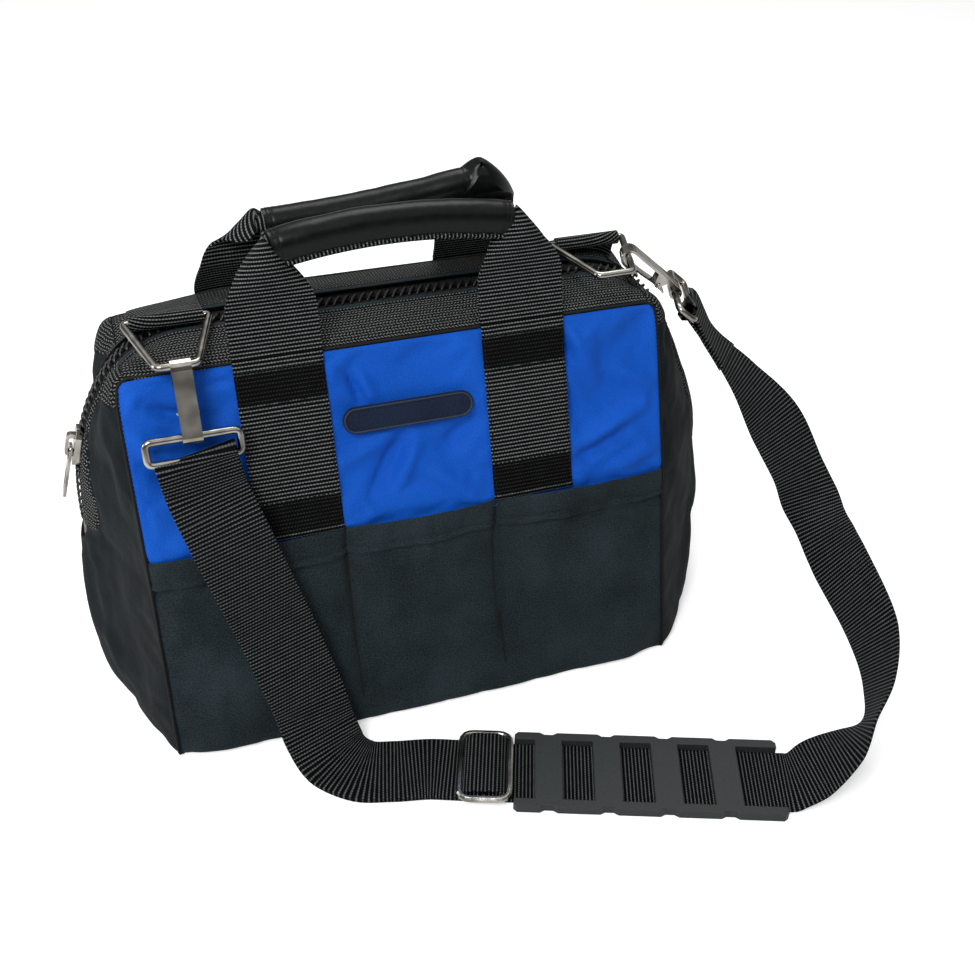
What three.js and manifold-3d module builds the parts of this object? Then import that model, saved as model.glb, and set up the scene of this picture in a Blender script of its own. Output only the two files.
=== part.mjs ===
// A zip-top tool bag in padded cloth with two carry handles, three front pockets and a
// shoulder strap that hangs from the left ring, lies on the floor and rises to the right ring.
// Millimetres, +Z up, the pockets face -Y. The origin is the middle of the bag's footprint.
import * as THREE from "three";
import { mergeVertices } from "three/addons/utils/BufferGeometryUtils.js";
import Module from "manifold-3d";

const wasm = await Module();
wasm.setup();

const { degToRad, lerp, smoothstep } = THREE.MathUtils;
const vec = (x, y, z) => new THREE.Vector3(x, y, z);

// Cloth and clearances
const wall = 2.5; // padded cloth wall
const cloth = 1.6; // single webbing or pocket cloth
const gap = 0.3; // between pieces that touch

// Bag body
const baseHalfLength = 153; // between the end seams, at the floor
const bodyHalfLength = 151.5; // the same from the foot of the zip up
const baseHalfDepth = 98.5;
const pocketTopHalfDepth = 73.5;
const topHalfDepth = 43.5;
const pocketTopHeight = 125;
const topSeamHeight = 221.5;
const ridgeHeight = 227.7; // roof along the zip
const leftBulge = 31; // how far the ends swell beyond their seams
const rightBulge = 46;
const cornerStart = 110; // where the roof begins to turn down into the ends
const seamSquareness = 10; // tight corner at the seams
const ridgeSquareness = 2; // round corner along the zip
const bandHalfLength = 146; // ribbed roof band ends here
const bandFoot = 176;
const boardThickness = 3;
const boardMargin = 6;

// Fold of the back half of the mouth
const foldHeight = 178;

// Front pockets
const pocketDepth = 7;
const pocketSeams = [-43, 46];
const hemDrop = 3.3; // from the pocket edge up to the coloured panel
const seamAllowance = 10;

// Zip
const zipFootHeight = 108;
const slotFootHeight = 100;
const slotHalfWidth = 9;
const tapeThickness = 1;
const tapeHalfWidth = 14;
const tapeInnerEdge = 2.2;
const tapeFootHeight = 94;
const toothPitch = 7;
const toothRoot = 4;
const toothReach = 1;
const toothProud = 0.2;
const toothBedding = 0.7;
const toothNeck = 0.9;
const toothHead = 1.3;
const stopHeight = 4;

// Slider and pull
const sliderHeight = 160;
const sliderLength = 23;
const sliderHalfWidth = 6;
const sliderPlate = 2;
const sliderClearance = 0.8;
const flangeThickness = 1.4;
const bridgeWidth = 4;
const bridgeLength = 14;
const bridgeWall = 1.6;
const bridgeHole = 3;
const pullThickness = 1.6;
const pullWidth = 8;
const pullLength = 34;

// Handles
const handleWidth = 48;
const frontLegs = { spacing: 136, middle: 1 };
const backLegs = { spacing: 142, middle: -3.5 };
const stripLength = 101;
const stripAbove = 0.6; // the sewn strip ends just above the top seam
const frontGripHeight = 56;
const backGripHeight = 57;
const frontGripArch = 12;
const backGripArch = -6; // the back grip hangs through a little
const backLeftBend = 22; // the back grip's left end slants down to its leg
const backRightLean = 5; // and its right leg leans inward
const gripBend = 10;
const curlRadius = 7.7;
const curlStart = 24; // along the leg, where the webbing begins to roll up
const curlClearance = 4; // rolled up this far before the sleeve
const legSqueeze = 0.4; // how much narrower a rolled leg is than its sleeve
const squeezeClearance = 8;
const sleeveWall = 1;
const frontLean = 14;
const backLean = 27;
const backGripSlope = 8;

// Label patch
const labelLength = 74;
const labelWidth = 15;
const labelHeight = 182.5;

// Rings and their webbing tabs
const wireRadius = 2.1;
const ringBase = 45.5; // between wire centres
const ringNose = 21; // the flat end the hook sits on
const ringReach = 45.5;
const ringCorner = 3;
const tabWidth = 39;
const tabTail = 20;
const tabLift = 1.2; // the tail bridges the facets of the roof
const leftRing = { x: -118.5, y: -6, z: 232.5, drop: 3, tail: 9.5, wrapStart: 115 };
const rightRing = { x: 130, y: 14, z: 236, drop: 0, tail: 22, wrapStart: 150 };

// Snap hooks
const hookSteel = 1.5;
const hookWidth = 13;
const hookInnerRadius = 4;
const hookReach = 37.5; // ring wire to loop bar
const tailLength = 11;
const pivotDrop = 25.5;
const pinRadius = 1;
const earThickness = 1.2;
const gateSteel = 1;
const gateWidth = 9;
const leftHookShift = 1.5;
const leftHookLean = 15.5;
const rightHookTurn = 18;
const rightHookDroop = 40;
const rightHookAlong = 0.52; // share of the ring's leg

// Strap loops
const strapWidth = 43;
const webbing = 1.6;
const doubled = 3.6; // two layers
const loopLength = strapWidth + 1.4 + 2 * wireRadius;
const loopHeight = 12.5;
const loopCorner = 3;

// Slide buckle and shoulder pad, which lie on the floor in line
const floorLineStart = vec(11.5, -162, 0);
const floorLineTurn = -20.2; // degrees about the vertical
const buckleDepth = 28;
const buckleCorner = 7;
const buckleBarRadius = 1.8;
const padStart = 16.6;
const padEnd = 169;
const padHalfWidth = 27.5;
const padHeight = 5.5;
const padBars = [28.5, 62.1, 95.7, 129.3];
const padBarWidth = 15.7;
const padNotch = 1.6;

// Materials
const paint = (color, roughness, metalness) =>
  new THREE.MeshStandardMaterial({ color, roughness, metalness });
const blackCloth = paint(0x1c2226, 0.85, 0);
const blueCloth = paint(0x1450be, 0.7, 0);
const meshCloth = paint(0x22282b, 0.9, 0);
const webbingBlack = paint(0x15191b, 0.75, 0);
const gripLeather = paint(0x101513, 0.5, 0);
const zipBlack = paint(0x0e1012, 0.45, 0);
const nickel = paint(0xc9c2b4, 0.28, 1);
const padRubber = paint(0x394040, 0.6, 0);
const labelNavy = paint(0x0c1a3a, 0.55, 0);
const boardGrey = paint(0x2a2c2e, 0.8, 0);

const bag = new THREE.Group();

// Adds a named mesh with shared corners, placed under a parent group.
function addPiece(name, geometry, material, parent = bag) {
  const mesh = new THREE.Mesh(tidy(geometry), material);
  mesh.name = name;
  parent.add(mesh);
  return mesh;
}

// Keeps only positions, shares corners and turns the faces outward.
function tidy(geometry) {
  const bare = geometry.clone();
  for (const key of Object.keys(bare.attributes)) {
    if (key !== "position") bare.deleteAttribute(key);
  }
  const merged = mergeVertices(bare, 1e-4);
  if (volumeOf(merged) < 0) {
    const index = merged.index.array;
    for (let i = 0; i < index.length; i += 3) {
      [index[i], index[i + 1]] = [index[i + 1], index[i]];
    }
  }
  merged.clearGroups();
  return merged;
}

function volumeOf(geometry) {
  const { array } = geometry.attributes.position;
  const index = geometry.index.array;
  const corner = (i) => vec(array[3 * i], array[3 * i + 1], array[3 * i + 2]);
  let sum = 0;
  for (let i = 0; i < index.length; i += 3) {
    const [a, b, c] = [corner(index[i]), corner(index[i + 1]), corner(index[i + 2])];
    sum += a.dot(b.cross(c));
  }
  return sum / 6;
}

function toSolid(geometry) {
  const clean = tidy(geometry);
  const mesh = new wasm.Mesh({
    numProp: 3,
    vertProperties: new Float32Array(clean.attributes.position.array),
    triVerts: new Uint32Array(clean.index.array),
  });
  return new wasm.Manifold(mesh);
}

function toGeometry(solid) {
  const mesh = solid.getMesh();
  const geometry = new THREE.BufferGeometry();
  geometry.setAttribute("position", new THREE.BufferAttribute(mesh.vertProperties.slice(), 3));
  geometry.setIndex(new THREE.BufferAttribute(mesh.triVerts.slice(), 1));
  return geometry;
}

function boxSolid([x0, x1], [y0, y1], [z0, z1]) {
  const box = new THREE.BoxGeometry(x1 - x0, y1 - y0, z1 - z0);
  box.translate((x0 + x1) / 2, (y0 + y1) / 2, (z0 + z1) / 2);
  return toSolid(box);
}

// A closed body between an outer and an inner sheet, both given by two parameters.
function sheetBody(outer, inner, us, vs) {
  const positions = [];
  const index = [];
  const across = vs.length;
  const sheets = [outer, inner];
  sheets.forEach((sheet) => {
    us.forEach((u) => vs.forEach((v) => positions.push(...sheet(u, v).toArray())));
  });
  const at = (sheet, i, j) => (sheet * us.length + i) * across + j;
  const quad = (a, b, c, d) => index.push(a, b, c, a, c, d);
  for (let i = 0; i + 1 < us.length; i += 1) {
    for (let j = 0; j + 1 < across; j += 1) {
      quad(at(0, i, j), at(0, i + 1, j), at(0, i + 1, j + 1), at(0, i, j + 1));
      quad(at(1, i, j), at(1, i, j + 1), at(1, i + 1, j + 1), at(1, i + 1, j));
    }
    quad(at(0, i, 0), at(1, i, 0), at(1, i + 1, 0), at(0, i + 1, 0));
    const last = across - 1;
    quad(at(0, i, last), at(0, i + 1, last), at(1, i + 1, last), at(1, i, last));
  }
  for (let j = 0; j + 1 < across; j += 1) {
    quad(at(0, 0, j), at(0, 0, j + 1), at(1, 0, j + 1), at(1, 0, j));
    const last = us.length - 1;
    quad(at(0, last, j), at(1, last, j), at(1, last, j + 1), at(0, last, j + 1));
  }
  const geometry = new THREE.BufferGeometry();
  geometry.setAttribute("position", new THREE.Float32BufferAttribute(positions, 3));
  geometry.setIndex(index);
  return geometry;
}

// A closed body lofted through rings of points; the path may close on itself.
function loftBody(rings, closed = false) {
  const positions = rings.flat().flatMap((p) => p.toArray());
  const around = rings[0].length;
  const index = [];
  const spans = closed ? rings.length : rings.length - 1;
  for (let i = 0; i < spans; i += 1) {
    const next = (i + 1) % rings.length;
    for (let j = 0; j < around; j += 1) {
      const k = (j + 1) % around;
      const [a, b] = [i * around + j, i * around + k];
      const [c, d] = [next * around + k, next * around + j];
      index.push(a, b, c, a, c, d);
    }
  }
  if (!closed) {
    for (const [ring, turn] of [[0, -1], [rings.length - 1, 1]]) {
      const cap = capTriangles(rings[ring]);
      for (const [a, b, c] of cap) {
        const base = ring * around;
        if (turn > 0) index.push(base + a, base + b, base + c);
        else index.push(base + a, base + c, base + b);
      }
    }
  }
  const geometry = new THREE.BufferGeometry();
  geometry.setAttribute("position", new THREE.Float32BufferAttribute(positions, 3));
  geometry.setIndex(index);
  return geometry;
}

// A ring made of two matching edges is closed with a strip of triangles between them.
function capTriangles(ring) {
  const count = ring.length;
  const triangles = [];
  for (let i = 0; i < count / 2 - 1; i += 1) {
    const [a, b] = [i, i + 1];
    const [c, d] = [count - 2 - i, count - 1 - i];
    triangles.push([a, b, c], [a, c, d]);
  }
  return triangles;
}

// A round wire bent along a closed flat outline in the XZ plane.
function wireLoop(outline, radius, sides = 8) {
  const count = outline.length;
  const rings = outline.map((p, i) => {
    const before = outline[(i + count - 1) % count];
    const after = outline[(i + 1) % count];
    const run = new THREE.Vector2().subVectors(after, before).normalize();
    return Array.from({ length: sides }, (_, j) => {
      const turn = ((j + 0.5) / sides) * 2 * Math.PI;
      const side = Math.cos(turn) * radius;
      return vec(p.x + run.y * side, Math.sin(turn) * radius, p.y - run.x * side);
    });
  });
  return loftBody(rings, true);
}

// The points of a polygon whose corners are rounded.
function roundedOutline(corners, radius, steps = 4) {
  return corners.flatMap((corner, i) => {
    const before = corners[(i + corners.length - 1) % corners.length];
    const after = corners[(i + 1) % corners.length];
    const start = corner.clone().add(before.clone().sub(corner).setLength(radius));
    const end = corner.clone().add(after.clone().sub(corner).setLength(radius));
    return new THREE.QuadraticBezierCurve(start, corner, end).getPoints(steps);
  });
}

function rectangle(length, height) {
  const [x, y] = [length / 2, height / 2];
  return [
    new THREE.Vector2(-x, y), new THREE.Vector2(-x, -y),
    new THREE.Vector2(x, -y), new THREE.Vector2(x, y),
  ];
}

function plate(outline, thickness, holes = []) {
  const shape = new THREE.Shape(outline);
  shape.holes.push(...holes.map((points) => new THREE.Path(points)));
  return new THREE.ExtrudeGeometry(shape, { depth: thickness, bevelEnabled: false });
}

// Half depth and half length of the bag at a height
function halfDepthAt(z) {
  if (z < pocketTopHeight) return lerp(baseHalfDepth, pocketTopHalfDepth, z / pocketTopHeight);
  const share = (z - pocketTopHeight) / (topSeamHeight - pocketTopHeight);
  return lerp(pocketTopHalfDepth, topHalfDepth, share);
}

function halfLengthAt(z, inset) {
  if (z < zipFootHeight) {
    return lerp(baseHalfLength, bodyHalfLength, z / zipFootHeight) - inset;
  }
  const rise = (z - zipFootHeight) / (topSeamHeight - zipFootHeight - inset);
  const left = Math.max(0, 1 - Math.min(1, rise) ** seamSquareness) ** (1 / seamSquareness);
  return cornerStart + (bodyHalfLength - cornerStart - inset) * left;
}

// The strip of cloth that runs up the left end, over the roof and down the right end.
const footHeight = wall + gap;
const endShare = 0.3;
const cornerShare = 0.9;
const endRows = 3;
const cornerRows = 14;
function stripPoint(k, across) {
  const side = k < 0.5 ? -1 : 1;
  const along = 1 - 2 * Math.abs(k - 0.5);
  const swell = 1 - across * across;
  const bulge = (side < 0 ? leftBulge : rightBulge) * swell;
  const rise = (ridgeHeight - topSeamHeight) * swell;
  if (along < endShare) {
    const z = (zipFootHeight * along) / endShare;
    const x = halfLengthAt(z, 0) + bulge;
    return vec(side * x, across * halfDepthAt(z), z);
  }
  if (along > cornerShare) {
    const x = lerp(cornerStart, 0, (along - cornerShare) / (1 - cornerShare));
    const z = topSeamHeight + rise;
    return vec(side * x, across * halfDepthAt(z), z);
  }
  const turn = ((along - endShare) / (cornerShare - endShare)) * (Math.PI / 2);
  const square = lerp(ridgeSquareness, seamSquareness, across ** 4);
  const a = bodyHalfLength - cornerStart + bulge;
  const c = topSeamHeight - zipFootHeight + rise;
  const angle = Math.atan2(c * Math.sin(turn), a * Math.cos(turn));
  const reach = ((Math.cos(angle) / a) ** square + (Math.sin(angle) / c) ** square) ** (-1 / square);
  const z = zipFootHeight + reach * Math.sin(angle);
  return vec(side * (cornerStart + reach * Math.cos(angle)), across * halfDepthAt(z), z);
}

function range(from, to, steps) {
  return Array.from({ length: steps + 1 }, (_, i) => lerp(from, to, i / steps));
}

function stripRows(first = 0) {
  const half = [
    ...range(first, endShare, endRows).slice(0, -1),
    ...range(endShare, cornerShare, cornerRows),
    1,
  ].map((along) => along / 2);
  return [...half, ...half.slice(0, -1).reverse().map((k) => 1 - k)];
}

// A point of a surface moved inward by a depth, away from the outside.
function sunk(surface, u, v, depth) {
  const step = 1e-3;
  const [uLow, uHigh] = [Math.max(0, u - step), Math.min(1, u + step)];
  const along = surface(uHigh, v).sub(surface(uLow, v));
  const across = surface(u, v + step).sub(surface(u, v - step));
  const normal = along.cross(across).normalize();
  const point = surface(u, v);
  const middle = vec(0, 0, pocketTopHeight);
  if (normal.dot(point.clone().sub(middle)) < 0) normal.negate();
  return point.addScaledVector(normal, -depth);
}

function shellBody(surface, us, vs, outerDepth, innerDepth) {
  return sheetBody(
    (u, v) => sunk(surface, u, v, outerDepth),
    (u, v) => sunk(surface, u, v, innerDepth),
    us,
    vs,
  );
}

// Ends and roof, cut from one strip so that their seams match
const far = 400;
const whole = toSolid(shellBody(stripPoint, stripRows(), range(-1, 1, 10), 0, wall))
  .subtract(boxSolid([-far, far], [-far, far], [-far, footHeight]));
const slotted = whole.subtract(
  boxSolid([-far, far], [-slotHalfWidth, slotHalfWidth], [slotFootHeight, far]),
);
const roofOver = (margin) => boxSolid(
  [-bandHalfLength - margin, bandHalfLength + margin],
  [-far, far],
  [bandFoot - margin, far],
);
const roof = slotted.intersect(roofOver(0));
const ends = slotted.subtract(roofOver(gap));
const frontHalf = boxSolid([-far, far], [-far, 0], [-far, far]);
const foldedHalf = boxSolid([-far, far], [0, far], [foldHeight + gap, far]);
const aboveFold = boxSolid([-far, far], [0, far], [foldHeight, far]);
addPiece("front_roof_band", toGeometry(roof.intersect(frontHalf)), meshCloth);
addPiece("back_roof_band", toGeometry(roof.intersect(foldedHalf)), meshCloth);
for (const [name, span] of [["left", [-far, 0]], ["right", [0, far]]]) {
  const end = ends.intersect(boxSolid(span, [-far, far], [-far, far]));
  addPiece(`${name}_end_panel`, toGeometry(end.subtract(aboveFold)), blackCloth);
  addPiece(`${name}_end_back_wing`, toGeometry(end.intersect(foldedHalf)), blackCloth);
}

// Base
const baseOutline = [
  ...range(-1, 1, 10).map((across) => stripPoint(0, across)),
  ...range(1, -1, 10).map((across) => stripPoint(1, across)),
].map((p) => new THREE.Vector2(p.x, p.y));
addPiece("base_panel", plate(baseOutline, wall), blackCloth);

const pocketRecess = wall + gap;
const boardHalfDepth = halfDepthAt(footHeight) - pocketRecess - wall - 1;
const board = plate(
  roundedOutline(rectangle(2 * (baseHalfLength - boardMargin), 2 * boardHalfDepth), 12),
  boardThickness,
);
board.translate(0, 0, footHeight);
addPiece("base_board", board, boardGrey);

// Front and back walls
const sideInset = wall + gap;
const panelTop = topSeamHeight - sideInset;
const panelRise = (share) => lerp(zipFootHeight, panelTop, share);
const upperHeights = [0.9, 0.96, 0.985, 1].map(panelRise);
function wallSheet(side, offset, inset) {
  return (u, v) => {
    const across = (2 * u - 1) * halfLengthAt(v, inset);
    return vec(across, side * (halfDepthAt(v) - offset), v);
  };
}

function wallPanel(side, offset, heights, thickness) {
  const outer = wallSheet(side, offset, sideInset);
  const inner = wallSheet(side, offset + thickness, sideInset);
  return sheetBody(outer, inner, [0, 0.5, 1], heights);
}

addPiece(
  "front_upper_panel",
  wallPanel(-1, 0, [pocketTopHeight + hemDrop, ...upperHeights], wall),
  blueCloth,
);
addPiece(
  "front_lower_panel",
  wallPanel(
    -1, pocketRecess, [footHeight, pocketTopHeight, pocketTopHeight + seamAllowance], wall,
  ),
  blackCloth,
);
addPiece(
  "back_lower_panel",
  wallPanel(1, 0, [footHeight, pocketTopHeight, foldHeight], wall),
  blackCloth,
);
addPiece(
  "back_upper_panel",
  wallPanel(1, 0, [foldHeight + gap, ...upperHeights], wall),
  blackCloth,
);

// Pocket panel: three pockets that swell between their seams and close at the foot
function pocketSheet(inner) {
  return (u, v) => {
    const reach = halfLengthAt(v, sideInset);
    const x = lerp(-reach, reach, u);
    const edges = [-reach, ...pocketSeams, reach];
    const index = edges.findIndex((edge, i) => i > 0 && x <= edge + 1e-6);
    const share = (x - edges[index - 1]) / (edges[index] - edges[index - 1]);
    const lobe = Math.sin(Math.PI * Math.min(1, Math.max(0, share))) ** 0.6;
    const rise = (v - footHeight) / (pocketTopHeight - footHeight);
    const swell = pocketDepth * lobe * rise ** 0.5;
    const offset = -pocketRecess + gap + swell + (inner ? 0 : cloth);
    return vec(x, -(halfDepthAt(v) + offset), v);
  };
}

const pocketReach = halfLengthAt(pocketTopHeight, sideInset);
const pocketEdges = [-pocketReach, ...pocketSeams, pocketReach];
const pocketColumns = pocketEdges.slice(1).flatMap((edge, i) => {
  const start = pocketEdges[i];
  return [0, 0.08, 0.25, 0.5, 0.75, 0.92].map((share) => lerp(start, edge, share));
});
const pocketUs = [...pocketColumns, pocketReach].map((x) => (x / pocketReach + 1) / 2);
addPiece(
  "pocket_panel",
  sheetBody(
    pocketSheet(false), pocketSheet(true), pocketUs,
    [0, 0.05, 0.2, 0.45, 0.75, 1].map((share) => lerp(footHeight, pocketTopHeight, share)),
  ),
  blackCloth,
);

// A frame on the slope of the upper front or back wall: y up the slope, z outward
const wallSlope = Math.atan2(
  pocketTopHalfDepth - topHalfDepth,
  topSeamHeight - pocketTopHeight,
);
function slopeFrame(side, height = topSeamHeight) {
  const frame = new THREE.Group();
  frame.rotation.order = "ZXY";
  frame.rotation.z = side > 0 ? Math.PI : 0;
  frame.rotation.x = Math.PI / 2 - wallSlope;
  frame.position.set(0, side * halfDepthAt(height), height);
  bag.add(frame);
  return frame;
}

const label = plate(
  roundedOutline(rectangle(labelLength, labelWidth), labelWidth / 2, 6),
  cloth,
);
label.translate(0, 0, gap);
addPiece("label_patch", label, labelNavy, slopeFrame(-1, labelHeight));

// Sewn handle strips
function sewnStrip(from, to) {
  const strip = new THREE.BoxGeometry(handleWidth, to - from, cloth);
  return strip.translate(0, (from + to) / 2, gap + cloth / 2);
}

const foldDrop = (topSeamHeight - foldHeight) / Math.cos(wallSlope);
const sideNames = [["left", -1], ["right", 1]];
for (const [name, hand] of sideNames) {
  const x = frontLegs.middle + (hand * frontLegs.spacing) / 2;
  const front = slopeFrame(-1);
  addPiece(
    `front_handle_strip_${name}`, sewnStrip(-stripLength, stripAbove), webbingBlack, front,
  ).position.x = x;
  const back = slopeFrame(1);
  const backX = backLegs.middle + (hand * backLegs.spacing) / 2;
  const upper = sewnStrip(-foldDrop + gap, stripAbove);
  addPiece(`back_handle_strip_${name}`, upper, webbingBlack, back).position.x = -backX;
  const lower = sewnStrip(-stripLength, -foldDrop - gap);
  addPiece(`back_handle_strip_${name}_foot`, lower, webbingBlack, back).position.x = -backX;
}

// Handles: flat legs that curl into a sleeve; the foot is round about the hinge line
function handlePath(half, top, { slope, arch, bends, leans }) {
  const [left, right] = [-1, 1].map((hand, i) => {
    const x = hand * (half - leans[i]);
    const height = top + hand * slope;
    return {
      foot: vec(hand * half, -0.75 * (cloth / 2), 0),
      straight: vec(hand * half, height * 0.4, 0),
      leaning: vec(x, height * 0.55, 0),
      legTop: vec(x, height - bends[i], 0),
      corner: vec(x, height, 0),
      gripEnd: vec(x - hand * bends[i], height, 0),
    };
  });
  const path = new THREE.CurvePath();
  path.add(new THREE.CubicBezierCurve3(left.foot, left.straight, left.leaning, left.legTop));
  path.add(new THREE.QuadraticBezierCurve3(left.legTop, left.corner, left.gripEnd));
  const crown = vec((left.gripEnd.x + right.gripEnd.x) / 2, top + arch, 0);
  path.add(new THREE.QuadraticBezierCurve3(left.gripEnd, crown, right.gripEnd));
  path.add(new THREE.QuadraticBezierCurve3(right.gripEnd, right.corner, right.legTop));
  path.add(new THREE.CubicBezierCurve3(right.legTop, right.leaning, right.straight, right.foot));
  return path;
}

function handleWebbing(path) {
  const half = handleWidth / 2;
  const total = path.getLength();
  const joints = path.getCurveLengths();
  const bendEnds = [joints[1], total - joints[2]];
  const feet = [0, 0.35, 0.6].map((h) => h / total);
  const legs = range(0.02, 0.2, 5);
  const bends = range(0.215, 0.285, 5);
  const starts = [...feet, ...legs, ...bends, 0.34, 0.42];
  const stations = [...starts, 0.5, ...[...starts].reverse().map((t) => 1 - t)];
  const rings = stations.map((t) => {
    const point = path.getPointAt(t);
    const run = path.getTangentAt(t);
    const out = vec(-run.y, run.x, 0);
    const fromEnd = Math.min(t, 1 - t) * total;
    const bendEnd = bendEnds[t < 0.5 ? 0 : 1];
    const rolled = smoothstep(fromEnd, curlStart, bendEnd - curlClearance);
    const curl = rolled / curlRadius + 1e-4;
    const squeezed = smoothstep(fromEnd, curlStart, bendEnd - squeezeClearance)
      * (1 - smoothstep(fromEnd, bendEnd - squeezeClearance, bendEnd)) * legSqueeze;
    const foot = Math.min(1, Math.sqrt(Math.max(0, 1 - (1 - fromEnd / 0.6) ** 2)) * 0.62 + 0.38);
    const thick = fromEnd < 0.6 ? cloth * foot : cloth;
    const shift = curlRadius * rolled;
    const edge = (side) => range(-half, half, 6).map((a) => {
      const turn = curl * a;
      const radius = 1 / curl + side * (thick / 2);
      const wide = radius * Math.sin(turn) * (1 - squeezed);
      const deep = radius * (1 - Math.cos(turn)) - side * (thick / 2);
      return point.clone().addScaledVector(out, wide).add(vec(0, 0, shift - deep));
    });
    return [...edge(1), ...edge(-1).reverse()];
  });
  return loftBody(rings);
}

function gripSleeve(path) {
  const inner = curlRadius + cloth / 2 + gap;
  const total = path.getLength();
  const joints = path.getCurveLengths();
  const stations = range((joints[1] + 1) / total, (joints[2] - 1) / total, 8);
  const ring = (t, radius) => {
    const run = path.getTangentAt(t);
    const out = vec(-run.y, run.x, 0);
    return Array.from({ length: 12 }, (_, j) => {
      const turn = (j / 12) * 2 * Math.PI;
      return path.getPointAt(t).addScaledVector(out, Math.cos(turn) * radius)
        .add(vec(0, 0, Math.sin(turn) * radius));
    });
  };
  const outside = stations.map((t) => ring(t, inner + sleeveWall));
  const inside = stations.map((t) => ring(t, inner)).reverse();
  return loftBody([...outside, ...inside], true);
}

const frontShape = { slope: 0, arch: frontGripArch, bends: [gripBend, gripBend], leans: [0, 0] };
const backShape = {
  slope: -backGripSlope,
  arch: backGripArch,
  bends: [gripBend, backLeftBend], // seen from behind
  leans: [backRightLean, 0],
};
for (const [name, side, lean, legs, top, shape] of [
  ["front", -1, frontLean, frontLegs, frontGripHeight, frontShape],
  ["back", 1, backLean, backLegs, backGripHeight, backShape],
]) {
  const rim = slopeFrame(side);
  const hinge = new THREE.Group();
  hinge.position.set(0, stripAbove + gap + cloth / 2, gap + cloth / 2);
  rim.add(hinge);
  const stand = new THREE.Group();
  stand.rotation.x = wallSlope - degToRad(lean);
  hinge.add(stand);
  stand.position.x = -side * legs.middle;
  const path = handlePath(legs.spacing / 2, top, shape);
  addPiece(`${name}_handle_webbing`, handleWebbing(path), webbingBlack, stand);
  addPiece(`${name}_handle_grip`, gripSleeve(path), gripLeather, stand);
}

// Zip: a tape under each edge of the slot, with teeth that mesh over the roof
function tapePoint(k, y) {
  const across = y / halfDepthAt(stripPoint(k, 0).z);
  const point = stripPoint(k, across);
  point.y = y;
  return point;
}

const tapeDepth = wall + gap;
const tapeStart = (tapeFootHeight / zipFootHeight) * endShare;
function tapeBody(side) {
  const edges = [side * tapeInnerEdge, side * tapeHalfWidth];
  return toSolid(
    shellBody(tapePoint, stripRows(tapeStart), edges, tapeDepth, tapeDepth + tapeThickness),
  );
}

const stopFoot = slotFootHeight + gap;
const stopClearance = 3.4;
function zipStations() {
  const points = range(tapeStart / 2, 1 - tapeStart / 2, 240)
    .map((k) => sunk(tapePoint, k, 0, tapeDepth))
    .filter((point) => point.z > stopFoot + stopHeight + stopClearance);
  const line = new THREE.CatmullRomCurve3(points);
  line.arcLengthDivisions = 2000;
  const count = Math.floor(line.getLength() / (toothPitch / 2));
  return range(0, 1, count).map((t) => {
    const along = line.getTangentAt(t);
    return { point: line.getPointAt(t), along, outward: vec(-along.z, 0, along.x) };
  });
}

function toothBody({ point, along, outward }, side) {
  const steep = Math.abs(along.z);
  const meshing = 1 - smoothstep(steep, 0.25, 0.45);
  const reach = lerp(-gap, toothReach, meshing);
  const height = tapeDepth + toothProud + toothBedding;
  const outline = [
    [-toothRoot, -toothNeck], [reach, -toothHead], [reach, toothHead], [-toothRoot, toothNeck],
  ].map(([y, s]) => new THREE.Vector2(y, s));
  const tooth = plate(outline, height);
  const basis = new THREE.Matrix4().makeBasis(vec(0, -side, 0), along, outward);
  basis.setPosition(point.clone().addScaledVector(outward, -toothBedding));
  return toSolid(tooth.applyMatrix4(basis));
}

const stations = zipStations();
const clearOfFold = ({ point }) => Math.abs(point.z - foldHeight - gap / 2) > toothPitch / 2;
const zipRow = (side) => stations
  .filter((station, i) => i % 2 === (side < 0 ? 0 : 1) && (side < 0 || clearOfFold(station)))
  .reduce((tape, station) => tape.add(toothBody(station, side)), tapeBody(side));
addPiece("front_zip_tape", toGeometry(zipRow(-1)), zipBlack);
const backRow = zipRow(1);
const everyY = [-far, far];
addPiece(
  "back_zip_tape",
  toGeometry(backRow.intersect(boxSolid([-far, far], everyY, [foldHeight + gap, far]))),
  zipBlack,
);
for (const [name, span] of [["left", [-far, 0]], ["right", [0, far]]]) {
  const foot = backRow.intersect(boxSolid(span, everyY, [-far, foldHeight]));
  addPiece(`back_zip_tape_${name}_foot`, toGeometry(foot), zipBlack);
  const k = findK(stopFoot + stopHeight / 2, tapeStart / 4);
  const seat = sunk(tapePoint, name === "left" ? k : 1 - k, 0, tapeDepth - gap);
  const stop = new THREE.BoxGeometry(2.4, 2 * toothRoot + 4, stopHeight);
  stop.translate(seat.x + (name === "left" ? -1.2 : 1.2), 0, stopFoot + stopHeight / 2);
  addPiece(`${name}_zip_stop`, stop, nickel);
}

// Slider on the left end, in a frame with x outward, z up the chain
const sliderK = findK(sliderHeight, endShare / 2);
function findK(height, lowest) {
  let [low, high] = [lowest, cornerShare / 2];
  for (let i = 0; i < 40; i += 1) {
    const middle = (low + high) / 2;
    if (stripPoint(middle, 0).z < height) low = middle;
    else high = middle;
  }
  return low;
}

const sliderFrame = new THREE.Group();
const sliderPoint = stripPoint(sliderK, 0);
const chainRun = stripPoint(sliderK + 1e-3, 0).sub(stripPoint(sliderK - 1e-3, 0)).normalize();
const chainOut = vec(-chainRun.z, 0, chainRun.x);
sliderFrame.applyMatrix4(
  new THREE.Matrix4().makeBasis(chainOut, vec(0, -1, 0), chainRun).setPosition(sliderPoint),
);
bag.add(sliderFrame);
const plateFoot = toothProud + sliderClearance;
const plateTop = plateFoot + sliderPlate;

// Turns a shape drawn as (outward, up) into a slab across the chain.
function acrossChain(outline, width, holes = []) {
  const slab = plate(outline, width, holes);
  slab.rotateX(Math.PI / 2);
  return slab.translate(0, width / 2, 0);
}

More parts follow.
